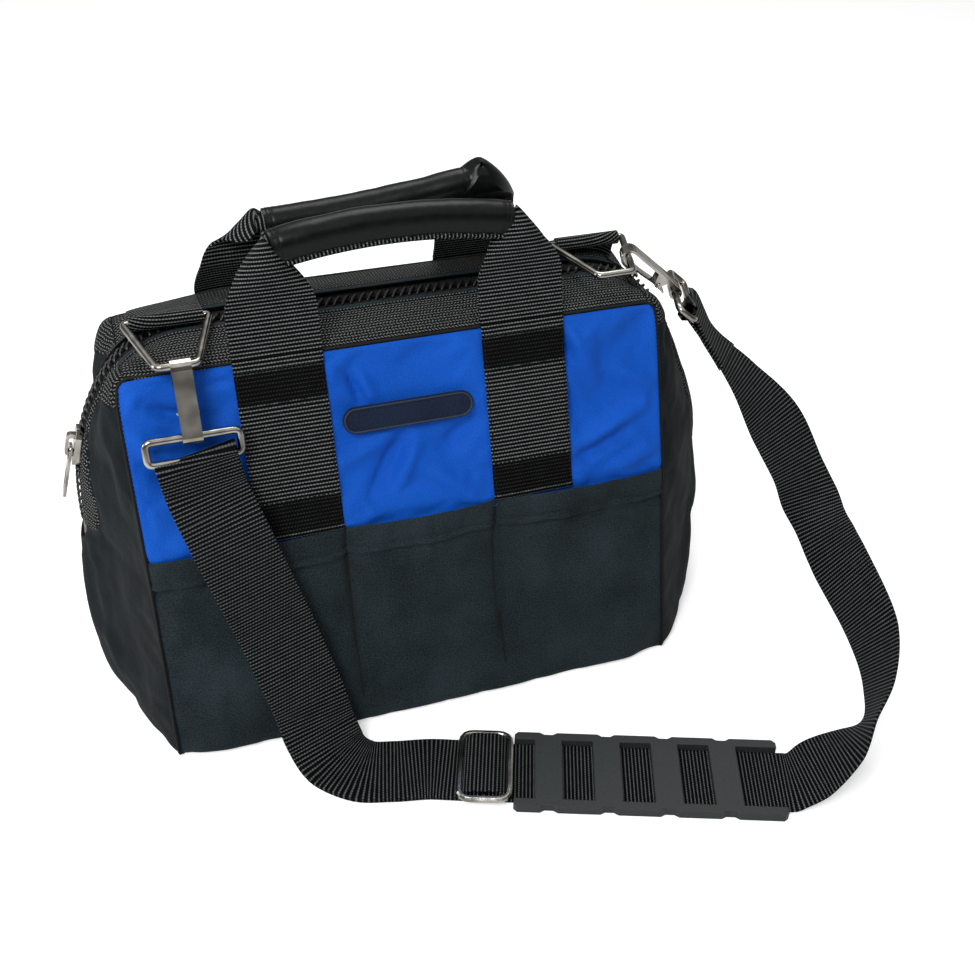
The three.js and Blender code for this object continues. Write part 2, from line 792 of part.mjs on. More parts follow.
function sliderBody() {
  const nose = sliderLength / 2;
  const outline = [
    [-sliderHalfWidth, -nose + 3], [-sliderHalfWidth + 2, -nose], [sliderHalfWidth - 2, -nose],
    [sliderHalfWidth, -nose + 3], [sliderHalfWidth, nose - 5], [sliderHalfWidth - 3, nose],
    [-sliderHalfWidth + 3, nose], [-sliderHalfWidth, nose - 5],
  ].map(([y, z]) => new THREE.Vector2(y, z));
  const body = plate(outline, tapeDepth + plateTop - sliderClearance);
  body.applyMatrix4(new THREE.Matrix4().makeBasis(vec(0, 1, 0), vec(0, 0, 1), vec(1, 0, 0)));
  body.translate(sliderClearance - tapeDepth, 0, 0);
  const channel = boxSolid(
    [-far, plateFoot],
    [-sliderHalfWidth + flangeThickness, sliderHalfWidth - flangeThickness],
    [-far, far],
  );
  const rise = bridgeHole + bridgeWall;
  const bridgeOutline = roundedOutline(rectangle(2 * rise, bridgeLength), 2.5, 3)
    .map((p) => new THREE.Vector2(p.x + plateTop, p.y));
  const holeLength = bridgeLength - 2 * bridgeWall - 2;
  const hole = roundedOutline(rectangle(bridgeHole, holeLength), 1, 2)
    .map((p) => new THREE.Vector2(p.x + plateTop + bridgeHole / 2, p.y));
  const bridge = toSolid(acrossChain(bridgeOutline, bridgeWidth, [hole])).subtract(
    boxSolid([-far, plateTop - 0.5], [-far, far], [-far, far]),
  );
  return toGeometry(toSolid(body).subtract(channel).add(bridge));
}

addPiece("zip_slider", sliderBody(), nickel, sliderFrame);

const pullFrame = new THREE.Group();
pullFrame.position.set(plateTop + bridgeHole / 2, 0, -1.5);
sliderFrame.add(pullFrame);
const slotCentre = -4.4;
const pullOutline = roundedOutline(rectangle(pullWidth, pullLength), 2.5, 3)
  .map((p) => new THREE.Vector2(p.x, p.y + 1 - pullLength / 2));
const pullSlot = roundedOutline(rectangle(bridgeWidth + 1.6, 6.8), 1.2, 2)
  .map((p) => new THREE.Vector2(p.x, p.y + slotCentre));
const pullHole = roundedOutline(rectangle(3.6, 14), 1.5, 3)
  .map((p) => new THREE.Vector2(p.x, p.y - 21));
const pull = plate(pullOutline, pullThickness, [pullSlot, pullHole]);
pull.applyMatrix4(new THREE.Matrix4().makeBasis(vec(0, 1, 0), vec(0, 0, 1), vec(1, 0, 0)));
pull.translate(-pullThickness / 2, 0, 0);
addPiece("zip_pull", pull, nickel, pullFrame);

// Triangle ring: the bar lies along X and the point reaches forward
function ringBody() {
  const corners = [
    new THREE.Vector2(-ringBase / 2, 0),
    new THREE.Vector2(-ringNose / 2, -ringReach),
    new THREE.Vector2(ringNose / 2, -ringReach),
    new THREE.Vector2(ringBase / 2, 0),
  ];
  return wireLoop(roundedOutline(corners, ringCorner, 4), wireRadius, 8);
}

// The tab lies on the back roof band, runs forward and wraps the ring's bar
function tabBody(ring) {
  const bore = wireRadius + gap;
  const outerRadius = bore + cloth;
  const nearK = (x) => {
    let [low, high] = x < 0 ? [endShare / 2, 0.5] : [0.5, 1 - endShare / 2];
    for (let i = 0; i < 40; i += 1) {
      const middle = (low + high) / 2;
      if (tapePoint(middle, ring.tail).x < x) low = middle;
      else high = middle;
    }
    return low;
  };
  const onRoof = (x, y, lift) => {
    const point = sunk(tapePoint, nearK(x), y, -lift);
    return vec(x, point.y, point.z);
  };
  const wrap = range(ring.wrapStart, -150, 9);
  const vs = range(0, 1, wrap.length + 2);
  const sheet = (inner) => (u, v) => {
    const x = ring.x + (u - 0.5) * tabWidth;
    const row = Math.round(v * (vs.length - 1));
    const lift = tabLift + (inner ? 0 : 2 * cloth);
    if (row < 3) return onRoof(x, ring.tail + tabTail * (1 - row / 2), lift);
    const radius = inner ? bore : outerRadius;
    const turn = degToRad(wrap[row - 3]);
    return vec(x, ring.y - Math.cos(turn) * radius, ring.z + Math.sin(turn) * radius);
  };
  return sheetBody(sheet(false), sheet(true), range(0, 1, 5), vs);
}

const ringFrames = {};
for (const [name, ring] of [["left", leftRing], ["right", rightRing]]) {
  const frame = new THREE.Group();
  frame.position.set(ring.x, ring.y, ring.z);
  frame.rotation.x = -Math.PI / 2 + Math.asin(ring.drop / ringReach);
  bag.add(frame);
  frame.updateMatrixWorld(true);
  ringFrames[name] = frame;
  addPiece(`${name}_ring`, ringBody(), nickel, frame);
  addPiece(`${name}_ring_tab`, tabBody(ring), webbingBlack);
}

// A strip of sheet steel bent along a path drawn as (back, up)
function bentStrip(path, thickness, width) {
  const side = (hand) => path.map((p, i) => {
    const before = path[Math.max(0, i - 1)];
    const after = path[Math.min(path.length - 1, i + 1)];
    const run = new THREE.Vector2().subVectors(after, before).normalize();
    return new THREE.Vector2(p.x - (run.y * hand * thickness) / 2, p.y + (run.x * hand * thickness) / 2);
  });
  return acrossPivot([...side(1), ...side(-1).reverse()], width);
}

// Turns an outline drawn as (back, up) into a slab centred along X.
function acrossPivot(outline, width, holes = []) {
  const slab = plate(outline, width, holes);
  slab.applyMatrix4(new THREE.Matrix4().makeBasis(vec(0, 1, 0), vec(0, 0, 1), vec(1, 0, 0)));
  return slab.translate(-width / 2, 0, 0);
}

function arc(centreX, centreY, radius, from, to, steps) {
  return range(from, to, steps).map((turn) => new THREE.Vector2(
    centreX + radius * Math.cos(degToRad(turn)),
    centreY + radius * Math.sin(degToRad(turn)),
  ));
}

const bendRadius = hookInnerRadius + hookSteel / 2;
const bendDrop = hookInnerRadius - wireRadius - gap;
const rollRadius = wireRadius + gap + hookSteel / 2;
const rollSetback = -bendRadius + rollRadius;
const pivotSetback = 0.8;
const earReach = 2.4;

function cylinderAcross(radius, length, setback, drop, sides = 12) {
  const rod = new THREE.CylinderGeometry(radius, radius, length, sides);
  rod.rotateZ(Math.PI / 2);
  return toSolid(rod.translate(0, setback, -drop));
}

function hookBody() {
  const path = [
    new THREE.Vector2(bendRadius + 0.6, -bendDrop - tailLength),
    ...arc(0, -bendDrop, bendRadius, 0, 180, 8),
    new THREE.Vector2(-bendRadius, -hookReach * 0.5),
    ...arc(rollSetback, -hookReach, rollRadius, 180, 450, 10),
  ];
  const inside = hookWidth / 2 - earThickness;
  let body = toSolid(bentStrip(path, hookSteel, hookWidth));
  const ear = [
    ...arc(pivotSetback, -pivotDrop, earReach, 60, -60, 5),
    new THREE.Vector2(-bendRadius, -pivotDrop - 4.5),
    new THREE.Vector2(-bendRadius, -pivotDrop + 4.5),
  ];
  for (const hand of [-1, 1]) {
    const side = acrossPivot(ear, earThickness);
    body = body.add(toSolid(side.translate(hand * (inside + earThickness / 2), 0, 0)));
  }
  body = body.subtract(cylinderAcross(pinRadius + gap, 2 * hookWidth, pivotSetback, pivotDrop));
  return toGeometry(body);
}

function gateBody() {
  const tipSetback = bendRadius - hookSteel / 2 - gateSteel / 2 - gap;
  const path = [
    new THREE.Vector2(tipSetback, -bendDrop - tailLength + 3.5),
    new THREE.Vector2(tipSetback, -bendDrop - tailLength - 1),
    new THREE.Vector2(pivotSetback + 1.6, -pivotDrop + 3),
    new THREE.Vector2(pivotSetback + 1.6, -pivotDrop),
    new THREE.Vector2(pivotSetback + 2.6, -pivotDrop - 7),
  ];
  const barrelLength = hookWidth - 2 * earThickness - 2 * gap;
  const barrel = cylinderAcross(pinRadius + gap + 0.9, barrelLength, pivotSetback, pivotDrop);
  const lever = toSolid(bentStrip(path, gateSteel, gateWidth));
  const bore = cylinderAcross(pinRadius + gap, 2 * hookWidth, pivotSetback, pivotDrop);
  return toGeometry(lever.add(barrel).subtract(bore));
}

function loopBody() {
  const outline = roundedOutline(rectangle(loopLength, loopHeight), loopCorner, 4)
    .map((p) => new THREE.Vector2(p.x, p.y - loopHeight / 2));
  return wireLoop(outline, wireRadius, 8);
}

// Where the hooks hang on their rings
const ringPlane = (name, x, reach) => ringFrames[name].localToWorld(vec(x, 0, -reach));
const hookFrames = { left: new THREE.Group(), right: new THREE.Group() };
hookFrames.left.rotation.x = -degToRad(leftHookLean);
hookFrames.left.position.copy(ringPlane("left", leftHookShift, ringReach));
const [turnSine, turnCosine] = [rightHookTurn, 90 - rightHookTurn].map((a) => Math.sin(degToRad(a)));
const rightAcross = vec(turnSine, turnCosine, 0);
const rightUp = vec(-turnCosine, turnSine, Math.tan(degToRad(rightHookDroop))).normalize();
hookFrames.right.applyMatrix4(new THREE.Matrix4().makeBasis(
  rightAcross,
  rightUp.clone().cross(rightAcross).normalize(),
  rightUp,
));
hookFrames.right.position.copy(
  ringPlane("right", lerp(ringBase, ringNose, rightHookAlong) / 2, ringReach * rightHookAlong),
);

const loopBars = {};
for (const name of ["left", "right"]) {
  const frame = hookFrames[name];
  bag.add(frame);
  addPiece(`${name}_hook`, hookBody(), nickel, frame);
  const pin = cylinderAcross(pinRadius, hookWidth + 1.6, pivotSetback, pivotDrop, 10);
  addPiece(`${name}_hook_pin`, toGeometry(pin), nickel, frame);
  addPiece(`${name}_hook_gate`, gateBody(), nickel, frame);
  const swivel = new THREE.Group();
  swivel.position.set(0, rollSetback, -hookReach);
  frame.add(swivel);
  addPiece(`${name}_strap_loop`, loopBody(), nickel, swivel);
  frame.updateMatrixWorld(true);
  loopBars[name] = swivel;
}

// Strap routes, from the loops to the floor: points and the direction of the width
const floorLine = new THREE.Group();
floorLine.position.copy(floorLineStart);
floorLine.rotation.z = degToRad(floorLineTurn);
bag.add(floorLine);
floorLine.updateMatrixWorld(true);
const onFloor = (s, z) => floorLine.localToWorld(vec(s, 0, z));
const floorAcross = vec(0, 1, 0).applyEuler(floorLine.rotation);
const doubledHeight = gap + doubled / 2;
const singleHeight = gap + webbing / 2;
const barPoint = (name, drop) => loopBars[name].localToWorld(vec(0, 0, -loopHeight - drop));
const barAcross = (name) => vec(1, 0, 0).transformDirection(loopBars[name].matrixWorld);
const endDrop = wireRadius + gap + 0.6;
const returnEnd = 10; // the second layer ends under the buckle's bar

const leftRoute = [
  [barPoint("left", endDrop), barAcross("left")],
  [vec(-114, -69.5, 162), vec(0.99, 0.02, 0.1)],
  [vec(-108, -82.5, 144.5), vec(0.96, 0.06, 0.26)],
  [vec(-97, -90.5, 106.5), vec(0.95, 0.08, 0.27)],
  [vec(-89, -93.5, 78), vec(0.95, 0.1, 0.25)],
  [vec(-83, -101, 56), vec(0.95, 0.12, 0.22)],
  [vec(-77, -108.5, 34), vec(0.95, 0.15, 0.17)],
  [vec(-73, -117, 15), vec(0.95, 0.2, 0.1)],
  [vec(-67, -130, 5), vec(0.9, 0.4, 0)],
  [vec(-55, -141, doubledHeight + 0.3), vec(0.7, 0.7, 0)],
  [vec(-38, -146.5, doubledHeight), vec(0.42, 0.91, 0)],
  [onFloor(-32, doubledHeight), floorAcross],
  [onFloor(-16, doubledHeight), floorAcross],
  [onFloor(returnEnd, doubledHeight), floorAcross],
];

const rightRoute = [
  [barPoint("right", endDrop), barAcross("right").negate()],
  [vec(193, -32.9, 187.8), vec(-0.61, -0.69, 0.4)],
  [vec(210.6, -51.2, 165.3), vec(-0.65, -0.76, -0.01)],
  [vec(226.4, -70.6, 140.3), vec(-0.91, -0.39, -0.16)],
  [vec(235.4, -88.4, 117), vec(-0.97, -0.2, 0.13)],
  [vec(238.8, -104.3, 101.4), vec(-0.83, -0.36, -0.43)],
  [vec(240.2, -131.3, 85.9), vec(-0.37, 0.26, -0.89)],
  [vec(239.6, -185.2, 63.2), vec(-0.22, 0.4, -0.89)],
  [vec(231, -208.8, 48.3), vec(0.1, 0.6, -0.8)],
  [vec(220.2, -220.7, 36.4), vec(0.37, 0.62, -0.69)],
  [vec(206.6, -225.3, 24.9), vec(0.32, 0.88, -0.35)],
  [vec(187.3, -224.2, 9.8), vec(0.16, 0.98, -0.07)],
  [vec(178.2, -223, 2.9), vec(0.29, 0.95, -0.06)],
  [onFloor(padEnd + 5, singleHeight + gap), floorAcross],
  [onFloor(padEnd, singleHeight), floorAcross],
  [onFloor(padEnd - 8, singleHeight), floorAcross],
  [onFloor(padEnd - 30, singleHeight), floorAcross],
  [onFloor(returnEnd + gap, singleHeight), floorAcross],
];

// A flat strap along part of a route, with square ends
function strapPiece(route, from, to, thickness) {
  const curve = new THREE.CatmullRomCurve3(route.map(([point]) => point), false, "centripetal");
  const turns = new THREE.CatmullRomCurve3(route.map(([, across]) => across), false, "centripetal");
  curve.arcLengthDivisions = 400;
  const total = curve.getLength();
  const steps = Math.max(2, Math.round((to - from) / 9));
  const rings = range(from / total, to / total, steps).map((share) => {
    const t = curve.getUtoTmapping(Math.min(1, Math.max(0, share)));
    const point = curve.getPoint(t);
    const run = curve.getTangent(t);
    const across = turns.getPoint(t);
    across.addScaledVector(run, -across.dot(run)).setLength(strapWidth / 2);
    const up = run.clone().cross(across).setLength(thickness / 2);
    const edge = (side) => range(-1, 1, 2).map((w) => point.clone()
      .addScaledVector(across, w).addScaledVector(up, side));
    return [...edge(1), ...edge(-1).reverse()];
  });
  return loftBody(rings);
}

function routeLength(route) {
  const curve = new THREE.CatmullRomCurve3(route.map(([point]) => point), false, "centripetal");
  curve.arcLengthDivisions = 400;
  return curve.getLength();
}

// The end of the strap wraps the loop's lower bar
function strapEnd(name, route, to, thickness) {
  const roll = wireRadius + gap;
  const ring = plate(
    arc(0, 0, roll + webbing, 0, 330, 11), strapWidth, [arc(0, 0, roll, 0, 330, 11)],
  );
  ring.translate(0, 0, -strapWidth / 2);
  const bore = new THREE.CylinderGeometry(roll, roll, loopLength, 12);
  bore.rotateX(Math.PI / 2);
  for (const shape of [ring, bore]) {
    shape.applyMatrix4(new THREE.Matrix4().makeBasis(vec(0, 1, 0), vec(0, 0, 1), vec(1, 0, 0)));
    shape.translate(0, 0, -loopHeight);
    shape.applyMatrix4(loopBars[name].matrixWorld);
  }
  const band = toSolid(strapPiece(route, 0, to, thickness)).subtract(toSolid(bore));
  return toGeometry(toSolid(ring).add(band));
}

const splits = {
  left: { route: leftRoute, thickness: doubled, cuts: [22, 46, 76, 142] },
  right: { route: rightRoute, thickness: webbing, cuts: [28, 60, 100, 205] },
};
const stretchNames = ["hook", "ring", "mouth"];
for (const [name, { route, thickness, cuts }] of Object.entries(splits)) {
  addPiece(
    `strap_${name}_end`, strapEnd(name, route, cuts[0], thickness), webbingBlack,
  );
  stretchNames.forEach((stretch, i) => {
    const piece = strapPiece(route, cuts[i] + gap, cuts[i + 1], thickness);
    addPiece(`strap_${name}_${stretch}`, piece, webbingBlack);
  });
  const rest = strapPiece(route, cuts[3] + gap, routeLength(route), thickness);
  addPiece(`strap_${name}_floor`, rest, webbingBlack);
}

// Slide buckle: a wire frame with a bar across its middle, over the strap
const buckleHeight = gap + doubled + gap + wireRadius;
function buckleBody() {
  const outline = roundedOutline(rectangle(buckleDepth, loopLength), buckleCorner, 4);
  const frame = wireLoop(outline, wireRadius, 8);
  frame.rotateX(Math.PI / 2);
  const bar = new THREE.CylinderGeometry(buckleBarRadius, buckleBarRadius, loopLength, 10);
  return toGeometry(toSolid(frame).add(toSolid(bar)));
}

addPiece("slide_buckle", buckleBody(), nickel, floorLine).position.z = buckleHeight;

// The webbing that turns over the buckle's bar
function humpBody() {
  const crown = buckleBarRadius + gap + webbing / 2 + 0.4;
  const low = -wireRadius + webbing / 2;
  const rings = range(-1, 1, 12).map((u) => {
    const s = u * 9.4;
    const z = buckleHeight + lerp(low, crown, 0.5 + 0.5 * Math.cos(Math.PI * u));
    const slope = -Math.sin(Math.PI * u) * Math.PI * 0.5 * ((crown - low) / 9.4);
    const up = vec(-slope, 0, 1).setLength(webbing / 2);
    const edge = (side) => range(-1, 1, 2).map((w) => vec(s, (w * strapWidth) / 2, z)
      .addScaledVector(up, side));
    return [...edge(1), ...edge(-1).reverse()];
  });
  return loftBody(rings);
}

addPiece("strap_buckle_turn", humpBody(), webbingBlack, floorLine);

// Shoulder pad: a ladder of rubber, its bars over the strap
function padBody() {
  const barCentres = padBars.map((s) => s + padBarWidth / 2);
  const sideLine = (hand) => {
    const points = [[padStart, padHalfWidth - 2], [padStart + 2, padHalfWidth]];
    for (const centre of barCentres) {
      points.push(
        [centre - 5, padHalfWidth], [centre - 2.5, padHalfWidth - padNotch],
        [centre + 2.5, padHalfWidth - padNotch], [centre + 5, padHalfWidth],
      );
    }
    points.push([padEnd - 2, padHalfWidth], [padEnd, padHalfWidth - 2]);
    return points.map(([s, t]) => new THREE.Vector2(s, hand * t));
  };
  let body = toSolid(plate([...sideLine(-1), ...sideLine(1).reverse()], padHeight));
  const channel = strapWidth / 2 + gap;
  const barFoot = gap + webbing + gap;
  body = body.subtract(boxSolid([-far, far], [-channel, channel], [-far, barFoot]));
  const windows = [padStart - 5, ...padBars.map((s) => s + padBarWidth)];
  const windowEnds = [...padBars, padEnd + 5];
  windows.forEach((start, i) => {
    body = body.subtract(boxSolid([start, windowEnds[i]], [-channel, channel], [-far, far]));
  });
  return toGeometry(body);
}

addPiece("shoulder_pad", padBody(), padRubber, floorLine).position.z = 0.1;

// The origin is the middle of the footprint of all but the strap and what is on it
bag.updateMatrixWorld(true);
const loose = /strap|hook|buckle|pad$/;
const reach = new THREE.Box3();
bag.traverse((piece) => {
  if (piece.isMesh && !loose.test(piece.name)) reach.expandByObject(piece, true);
});
const middle = reach.getCenter(vec(0, 0, 0));
bag.position.set(-middle.x, -middle.y, -reach.min.z);
bag.updateMatrixWorld(true);

export default bag;
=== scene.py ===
import math

import bmesh
import bpy
import numpy as np
from mathutils import Matrix, Vector


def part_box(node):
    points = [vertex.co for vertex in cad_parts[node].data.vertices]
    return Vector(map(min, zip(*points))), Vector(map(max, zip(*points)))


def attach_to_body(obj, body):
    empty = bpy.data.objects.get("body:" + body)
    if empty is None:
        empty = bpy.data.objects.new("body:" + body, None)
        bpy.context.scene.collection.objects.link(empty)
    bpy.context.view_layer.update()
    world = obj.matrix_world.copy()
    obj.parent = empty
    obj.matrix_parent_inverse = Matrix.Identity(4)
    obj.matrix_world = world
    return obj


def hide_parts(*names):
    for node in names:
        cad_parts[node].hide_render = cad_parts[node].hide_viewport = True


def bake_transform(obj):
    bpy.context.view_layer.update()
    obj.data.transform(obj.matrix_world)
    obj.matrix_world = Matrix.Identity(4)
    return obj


# A zip-top tool bag in padded cloth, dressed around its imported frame. Sizes are in millimetres
# about the middle of the bag's footprint, and metres() turns them into the frame's own metres.
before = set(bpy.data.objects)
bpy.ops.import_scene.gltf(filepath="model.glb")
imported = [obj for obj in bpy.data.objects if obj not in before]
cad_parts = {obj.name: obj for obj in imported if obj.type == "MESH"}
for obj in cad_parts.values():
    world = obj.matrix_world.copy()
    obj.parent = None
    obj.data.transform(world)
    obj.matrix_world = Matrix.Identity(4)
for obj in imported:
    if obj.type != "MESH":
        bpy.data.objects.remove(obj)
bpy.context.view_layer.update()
band_low, band_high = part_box("front_roof_band")
MIDDLE_X = (band_low.x + band_high.x) / 2

# Bag body
BASE_HALF_LENGTH, BODY_HALF_LENGTH = 153, 151.5
BASE_HALF_DEPTH, POCKET_TOP_HALF_DEPTH, TOP_HALF_DEPTH = 98.5, 73.5, 43.5
POCKET_TOP, TOP_SEAM, RIDGE = 125, 221.5, 227.7
LEFT_BULGE, RIGHT_BULGE, LOW_SAG = 31, 47, 6
CORNER_START, SEAM_SQUARENESS, LEFT_SQUARENESS, RIGHT_SQUARENESS = 110, 16, 2.15, 2.7
FOOT_RADIUS = 4
BAND_HALF_LENGTH = 146
ZIP_FOOT, SLOT_FOOT, SLOT_HALF_WIDTH = 108, 100, 9
END_SHARE, CORNER_SHARE = 0.3, 0.9
POCKET_SEAMS = (-43, 46)
BAG_MIDDLE = (0, 0, 110)
WALL_CLOTH, POCKET_CLOTH, BAND_CLOTH = 2.0, 1.5, 1.8

# Webbing widths and thickness, and the spacing and middle of each handle's legs
HANDLE_WIDTH, STRAP_WIDTH, WEBBING = 48, 43, 1.6
FRONT_LEGS, BACK_LEGS = (136, 1), (142, -3.5)
# Radius of the rings' and loops' wire, and a strap loop's size
WIRE = 2.1
LOOP_LENGTH, LOOP_HEIGHT = 48.6, 12.5


def metres(points):
    return np.asarray(points, float) * 0.001 + np.array([MIDDLE_X, 0, 0])


def lerp(a, b, t):
    return a + (b - a) * t


def smooth(x, low, high):
    t = np.clip((np.asarray(x, float) - low) / (high - low), 0, 1)
    return t * t * (3 - 2 * t)


def unit(v):
    v = np.asarray(v, float)
    return v / np.maximum(np.linalg.norm(v, axis=-1, keepdims=True), 1e-12)


def hill(away, width):
    """A soft hill of height 1 where away is nothing."""
    return np.exp(-(away / width) ** 2)


def stacked(*values):
    """Points or pairs from coordinates that are broadcast to one shape."""
    return np.stack(np.broadcast_arrays(*values), axis=-1)


def lengths(path):
    """The length along a path at each of its points."""
    return np.cumsum(np.linalg.norm(np.diff(path, axis=0, prepend=path[:1]), axis=1))


def interpolated(at, places, rows):
    return np.stack([np.interp(at, places, column) for column in rows.T], axis=-1)


def respread(rows, count):
    """The same run of rows over another count."""
    return interpolated(np.linspace(0, 1, count), np.linspace(0, 1, len(rows)), rows)


def square_to(v, run):
    """The part of a direction that is square to another."""
    return unit(v - (v * run).sum(-1, keepdims=True) * run)


def circle(sides):
    return np.linspace(0, 2 * np.pi, sides, endpoint=False)


def add_object(name, data):
    item = bpy.data.objects.new(name, data)
    bpy.context.scene.collection.objects.link(item)
    return item


def add_mesh(name, points, faces):
    data = bpy.data.meshes.new(name)
    data.from_pydata(metres(points).tolist(), [], faces)
    return add_object(name, data)


def mesh_points(data):
    points = np.zeros(len(data.vertices) * 3)
    data.vertices.foreach_get("co", points)
    return points.reshape(-1, 3)


# Camera, fitted to the seams, the floor outline and the handles of the photograph
CAMERA_PLACE = (-144.1, -614.3, 549.1)
CAMERA_AZIMUTH, CAMERA_ELEVATION, CAMERA_ROLL = -18.85, 35.96, 0.92
FOCAL_PIXELS, FRAME_PIXELS, SENSOR = 1238.3, 975, 36


def make_camera():
    a, e, r = (math.radians(x) for x in (CAMERA_AZIMUTH, CAMERA_ELEVATION, CAMERA_ROLL))
    back = Vector((math.sin(a) * math.cos(e), -math.cos(a) * math.cos(e), math.sin(e)))
    right = Vector((math.cos(a), math.sin(a), 0))
    up = back.cross(right)
    axes = right * math.cos(r) + up * math.sin(r), up * math.cos(r) - right * math.sin(r), back
    data = bpy.data.cameras.new("camera")
    data.sensor_width = SENSOR
    data.lens = FOCAL_PIXELS * SENSOR / FRAME_PIXELS
    camera = add_object("camera", data)
    camera.matrix_world = Matrix.Translation(metres(CAMERA_PLACE)) @ Matrix(axes).transposed().to_4x4()
    bpy.context.scene.camera = camera


make_camera()


# Meshes
CORNER_DROOP, SHARP_ANGLE = 8, 50


def drooped(points):
    """The cloth's left back corner hangs a little lower than its frame."""
    points = np.array(points, float)
    x, y, z = points[..., 0], points[..., 1], points[..., 2]
    points[..., 2] = z - CORNER_DROOP * smooth(-x, 80, 150) * smooth(y, 0, 44) * smooth(z, 150, 215)
    return points


def make_piece(name, points, faces, look, uv):
    piece = add_mesh(name, drooped(points), faces)
    data = piece.data
    corners = np.zeros(len(data.loops), int)
    data.loops.foreach_get("vertex_index", corners)
    layer = data.uv_layers.new(name="UVMap")
    layer.data.foreach_set("uv", np.asarray(uv, np.float32)[corners].ravel())
    work = bmesh.new()
    work.from_mesh(data)
    bmesh.ops.recalc_face_normals(work, faces=work.faces)
    work.to_mesh(data)
    work.free()
    data.polygons.foreach_set("use_smooth", [True] * len(data.polygons))
    data.set_sharp_from_angle(angle=math.radians(SHARP_ANGLE))
    data.materials.append(look)
    return piece


def patch_look(piece, look, chosen):
    """Gives the first faces of a sheet a second material where chosen, a grid of faces, is true."""
    piece.data.materials.append(look)
    index = np.zeros(len(piece.data.polygons), int)
    index[:chosen.size] = chosen.ravel()
    piece.data.polygons.foreach_set("material_index", index)


def attach(piece, body, slot, *nodes):
    """Puts a piece on a body, or across the mouth's fold, in place of its nodes of the frame."""
    if body == "fold":
        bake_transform(piece)
    else:
        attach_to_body(piece, body)
    if nodes:
        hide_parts(*nodes)


class Parts:
    """Gathers many small shapes into one mesh."""

    def __init__(self):
        self.points, self.faces, self.uv, self.count = [], [], [], 0

    def add(self, points, faces, uv=None):
        points = np.asarray(points, float).reshape(-1, 3)
        self.points.append(points)
        uv = np.zeros((len(points), 2)) if uv is None else uv
        self.uv.append(np.asarray(uv).reshape(-1, 2))
        self.faces += [[i + self.count for i in face] for face in faces]
        self.count += len(points)
        return self

    def piece(self, name, look):
        points, uv = np.concatenate(self.points), np.concatenate(self.uv)
        return make_piece(name, points, self.faces, look, uv)


def quads(rows, columns, closed_rows=False, closed_columns=False):
    faces = []
    for i in range(rows if closed_rows else rows - 1):
        here, below = i * columns, (i + 1) % rows * columns
        for j in range(columns if closed_columns else columns - 1):
            beside = (j + 1) % columns
            faces.append([here + j, here + beside, below + beside, below + j])
    return faces


def capped(rows, columns):
    """The faces of a row of rings, closed at both ends."""
    last = (rows - 1) * columns
    ends = [list(range(columns)), list(range(last, last + columns))[::-1]]
    return quads(rows, columns, closed_columns=True) + ends


def grid_normals(grid, middle=BAG_MIDDLE):
    normal = unit(np.cross(np.gradient(grid, axis=1), np.gradient(grid, axis=0)))
    away = (normal * (grid - np.array(middle))).sum(-1).mean()
    return normal if away > 0 else -normal


def grid_uv(grid):
    """Lengths along the surface, from the middle column and the first row."""
    u = np.cumsum(np.linalg.norm(np.diff(grid, axis=1, prepend=grid[:, :1]), axis=2), axis=1)
    v = np.cumsum(np.linalg.norm(np.diff(grid, axis=0, prepend=grid[:1]), axis=2), axis=0)
    u = u - u[:, u.shape[1] // 2][:, None]
    return np.stack([u, v], axis=2)


def closed_sheet(outer, inner, uv):
    """Two grids of points, one behind the other, joined round their rims."""
    rows, columns = outer.shape[:2]
    size = rows * columns
    side = quads(rows, columns)
    index = np.arange(size).reshape(rows, columns)
    rim = [*index[0], *index[1:, -1], *index[-1, -2::-1], *index[-2:0:-1, 0]]
    faces = side + [[i + size for i in reversed(face)] for face in side]
    faces += [[int(i) for i in (a, b, b + size, a + size)] for a, b in zip(rim, rim[1:] + rim[:1])]
    points = np.concatenate([outer.reshape(-1, 3), inner.reshape(-1, 3)])
    return points, faces, np.concatenate([uv.reshape(-1, 2)] * 2)


def cloth_sheet(grid, thickness, uv=None, middle=BAG_MIDDLE):
    """A sheet under a grid of points, which is its outer side."""
    uv = grid_uv(grid) if uv is None else uv
    return closed_sheet(grid, grid - grid_normals(grid, middle) * thickness, uv)


def sheet_piece(name, grid, thickness, look, uv=None, middle=BAG_MIDDLE):
    points, faces, uv = cloth_sheet(grid, thickness, uv, middle)
    return make_piece(name, points, faces, look, uv)


def raised(grid, height):
    """A surface moved out along its normals by a height at each point."""
    return grid + grid_normals(grid) * height[..., None]


def tube(path, radius, sides=8, closed=False, up=(0, 0, 1)):
    """A round wire along a path, with round ends."""
    path = np.asarray(path, float)
    radii = np.full(len(path), radius, float)
    if closed:
        run = unit(np.roll(path, -1, axis=0) - np.roll(path, 1, axis=0))
    else:
        start = path[0] - unit(path[1] - path[0]) * radius * 0.6
        end = path[-1] + unit(path[-1] - path[-2]) * radius * 0.6
        path = np.concatenate([[start], path, [end]])
        run = unit(np.gradient(path, axis=0))
        radii = np.pad(radii, 1, constant_values=radius * 0.45)
    never_zero = 1e-6 * np.array([1, 0.3, 0.1])
    side = unit(np.cross(run, np.asarray(up, float)) + never_zero)
    over = unit(np.cross(side, run))
    turn = circle(sides)
    spokes = np.cos(turn)[:, None] * side[:, None] + np.sin(turn)[:, None] * over[:, None]
    rings = path[:, None] + radii[:, None, None] * spokes
    faces = quads(len(path), sides, True, True) if closed else capped(len(path), sides)
    return rings, faces, stacked(turn[None] * radius, lengths(path)[:, None])


def resample(path, step=None, count=None):
    path = np.asarray(path, float)
    along = lengths(path)
    count = count or max(2, int(round(along[-1] / step)) + 1)
    return interpolated(np.linspace(0, along[-1], count), along, path)


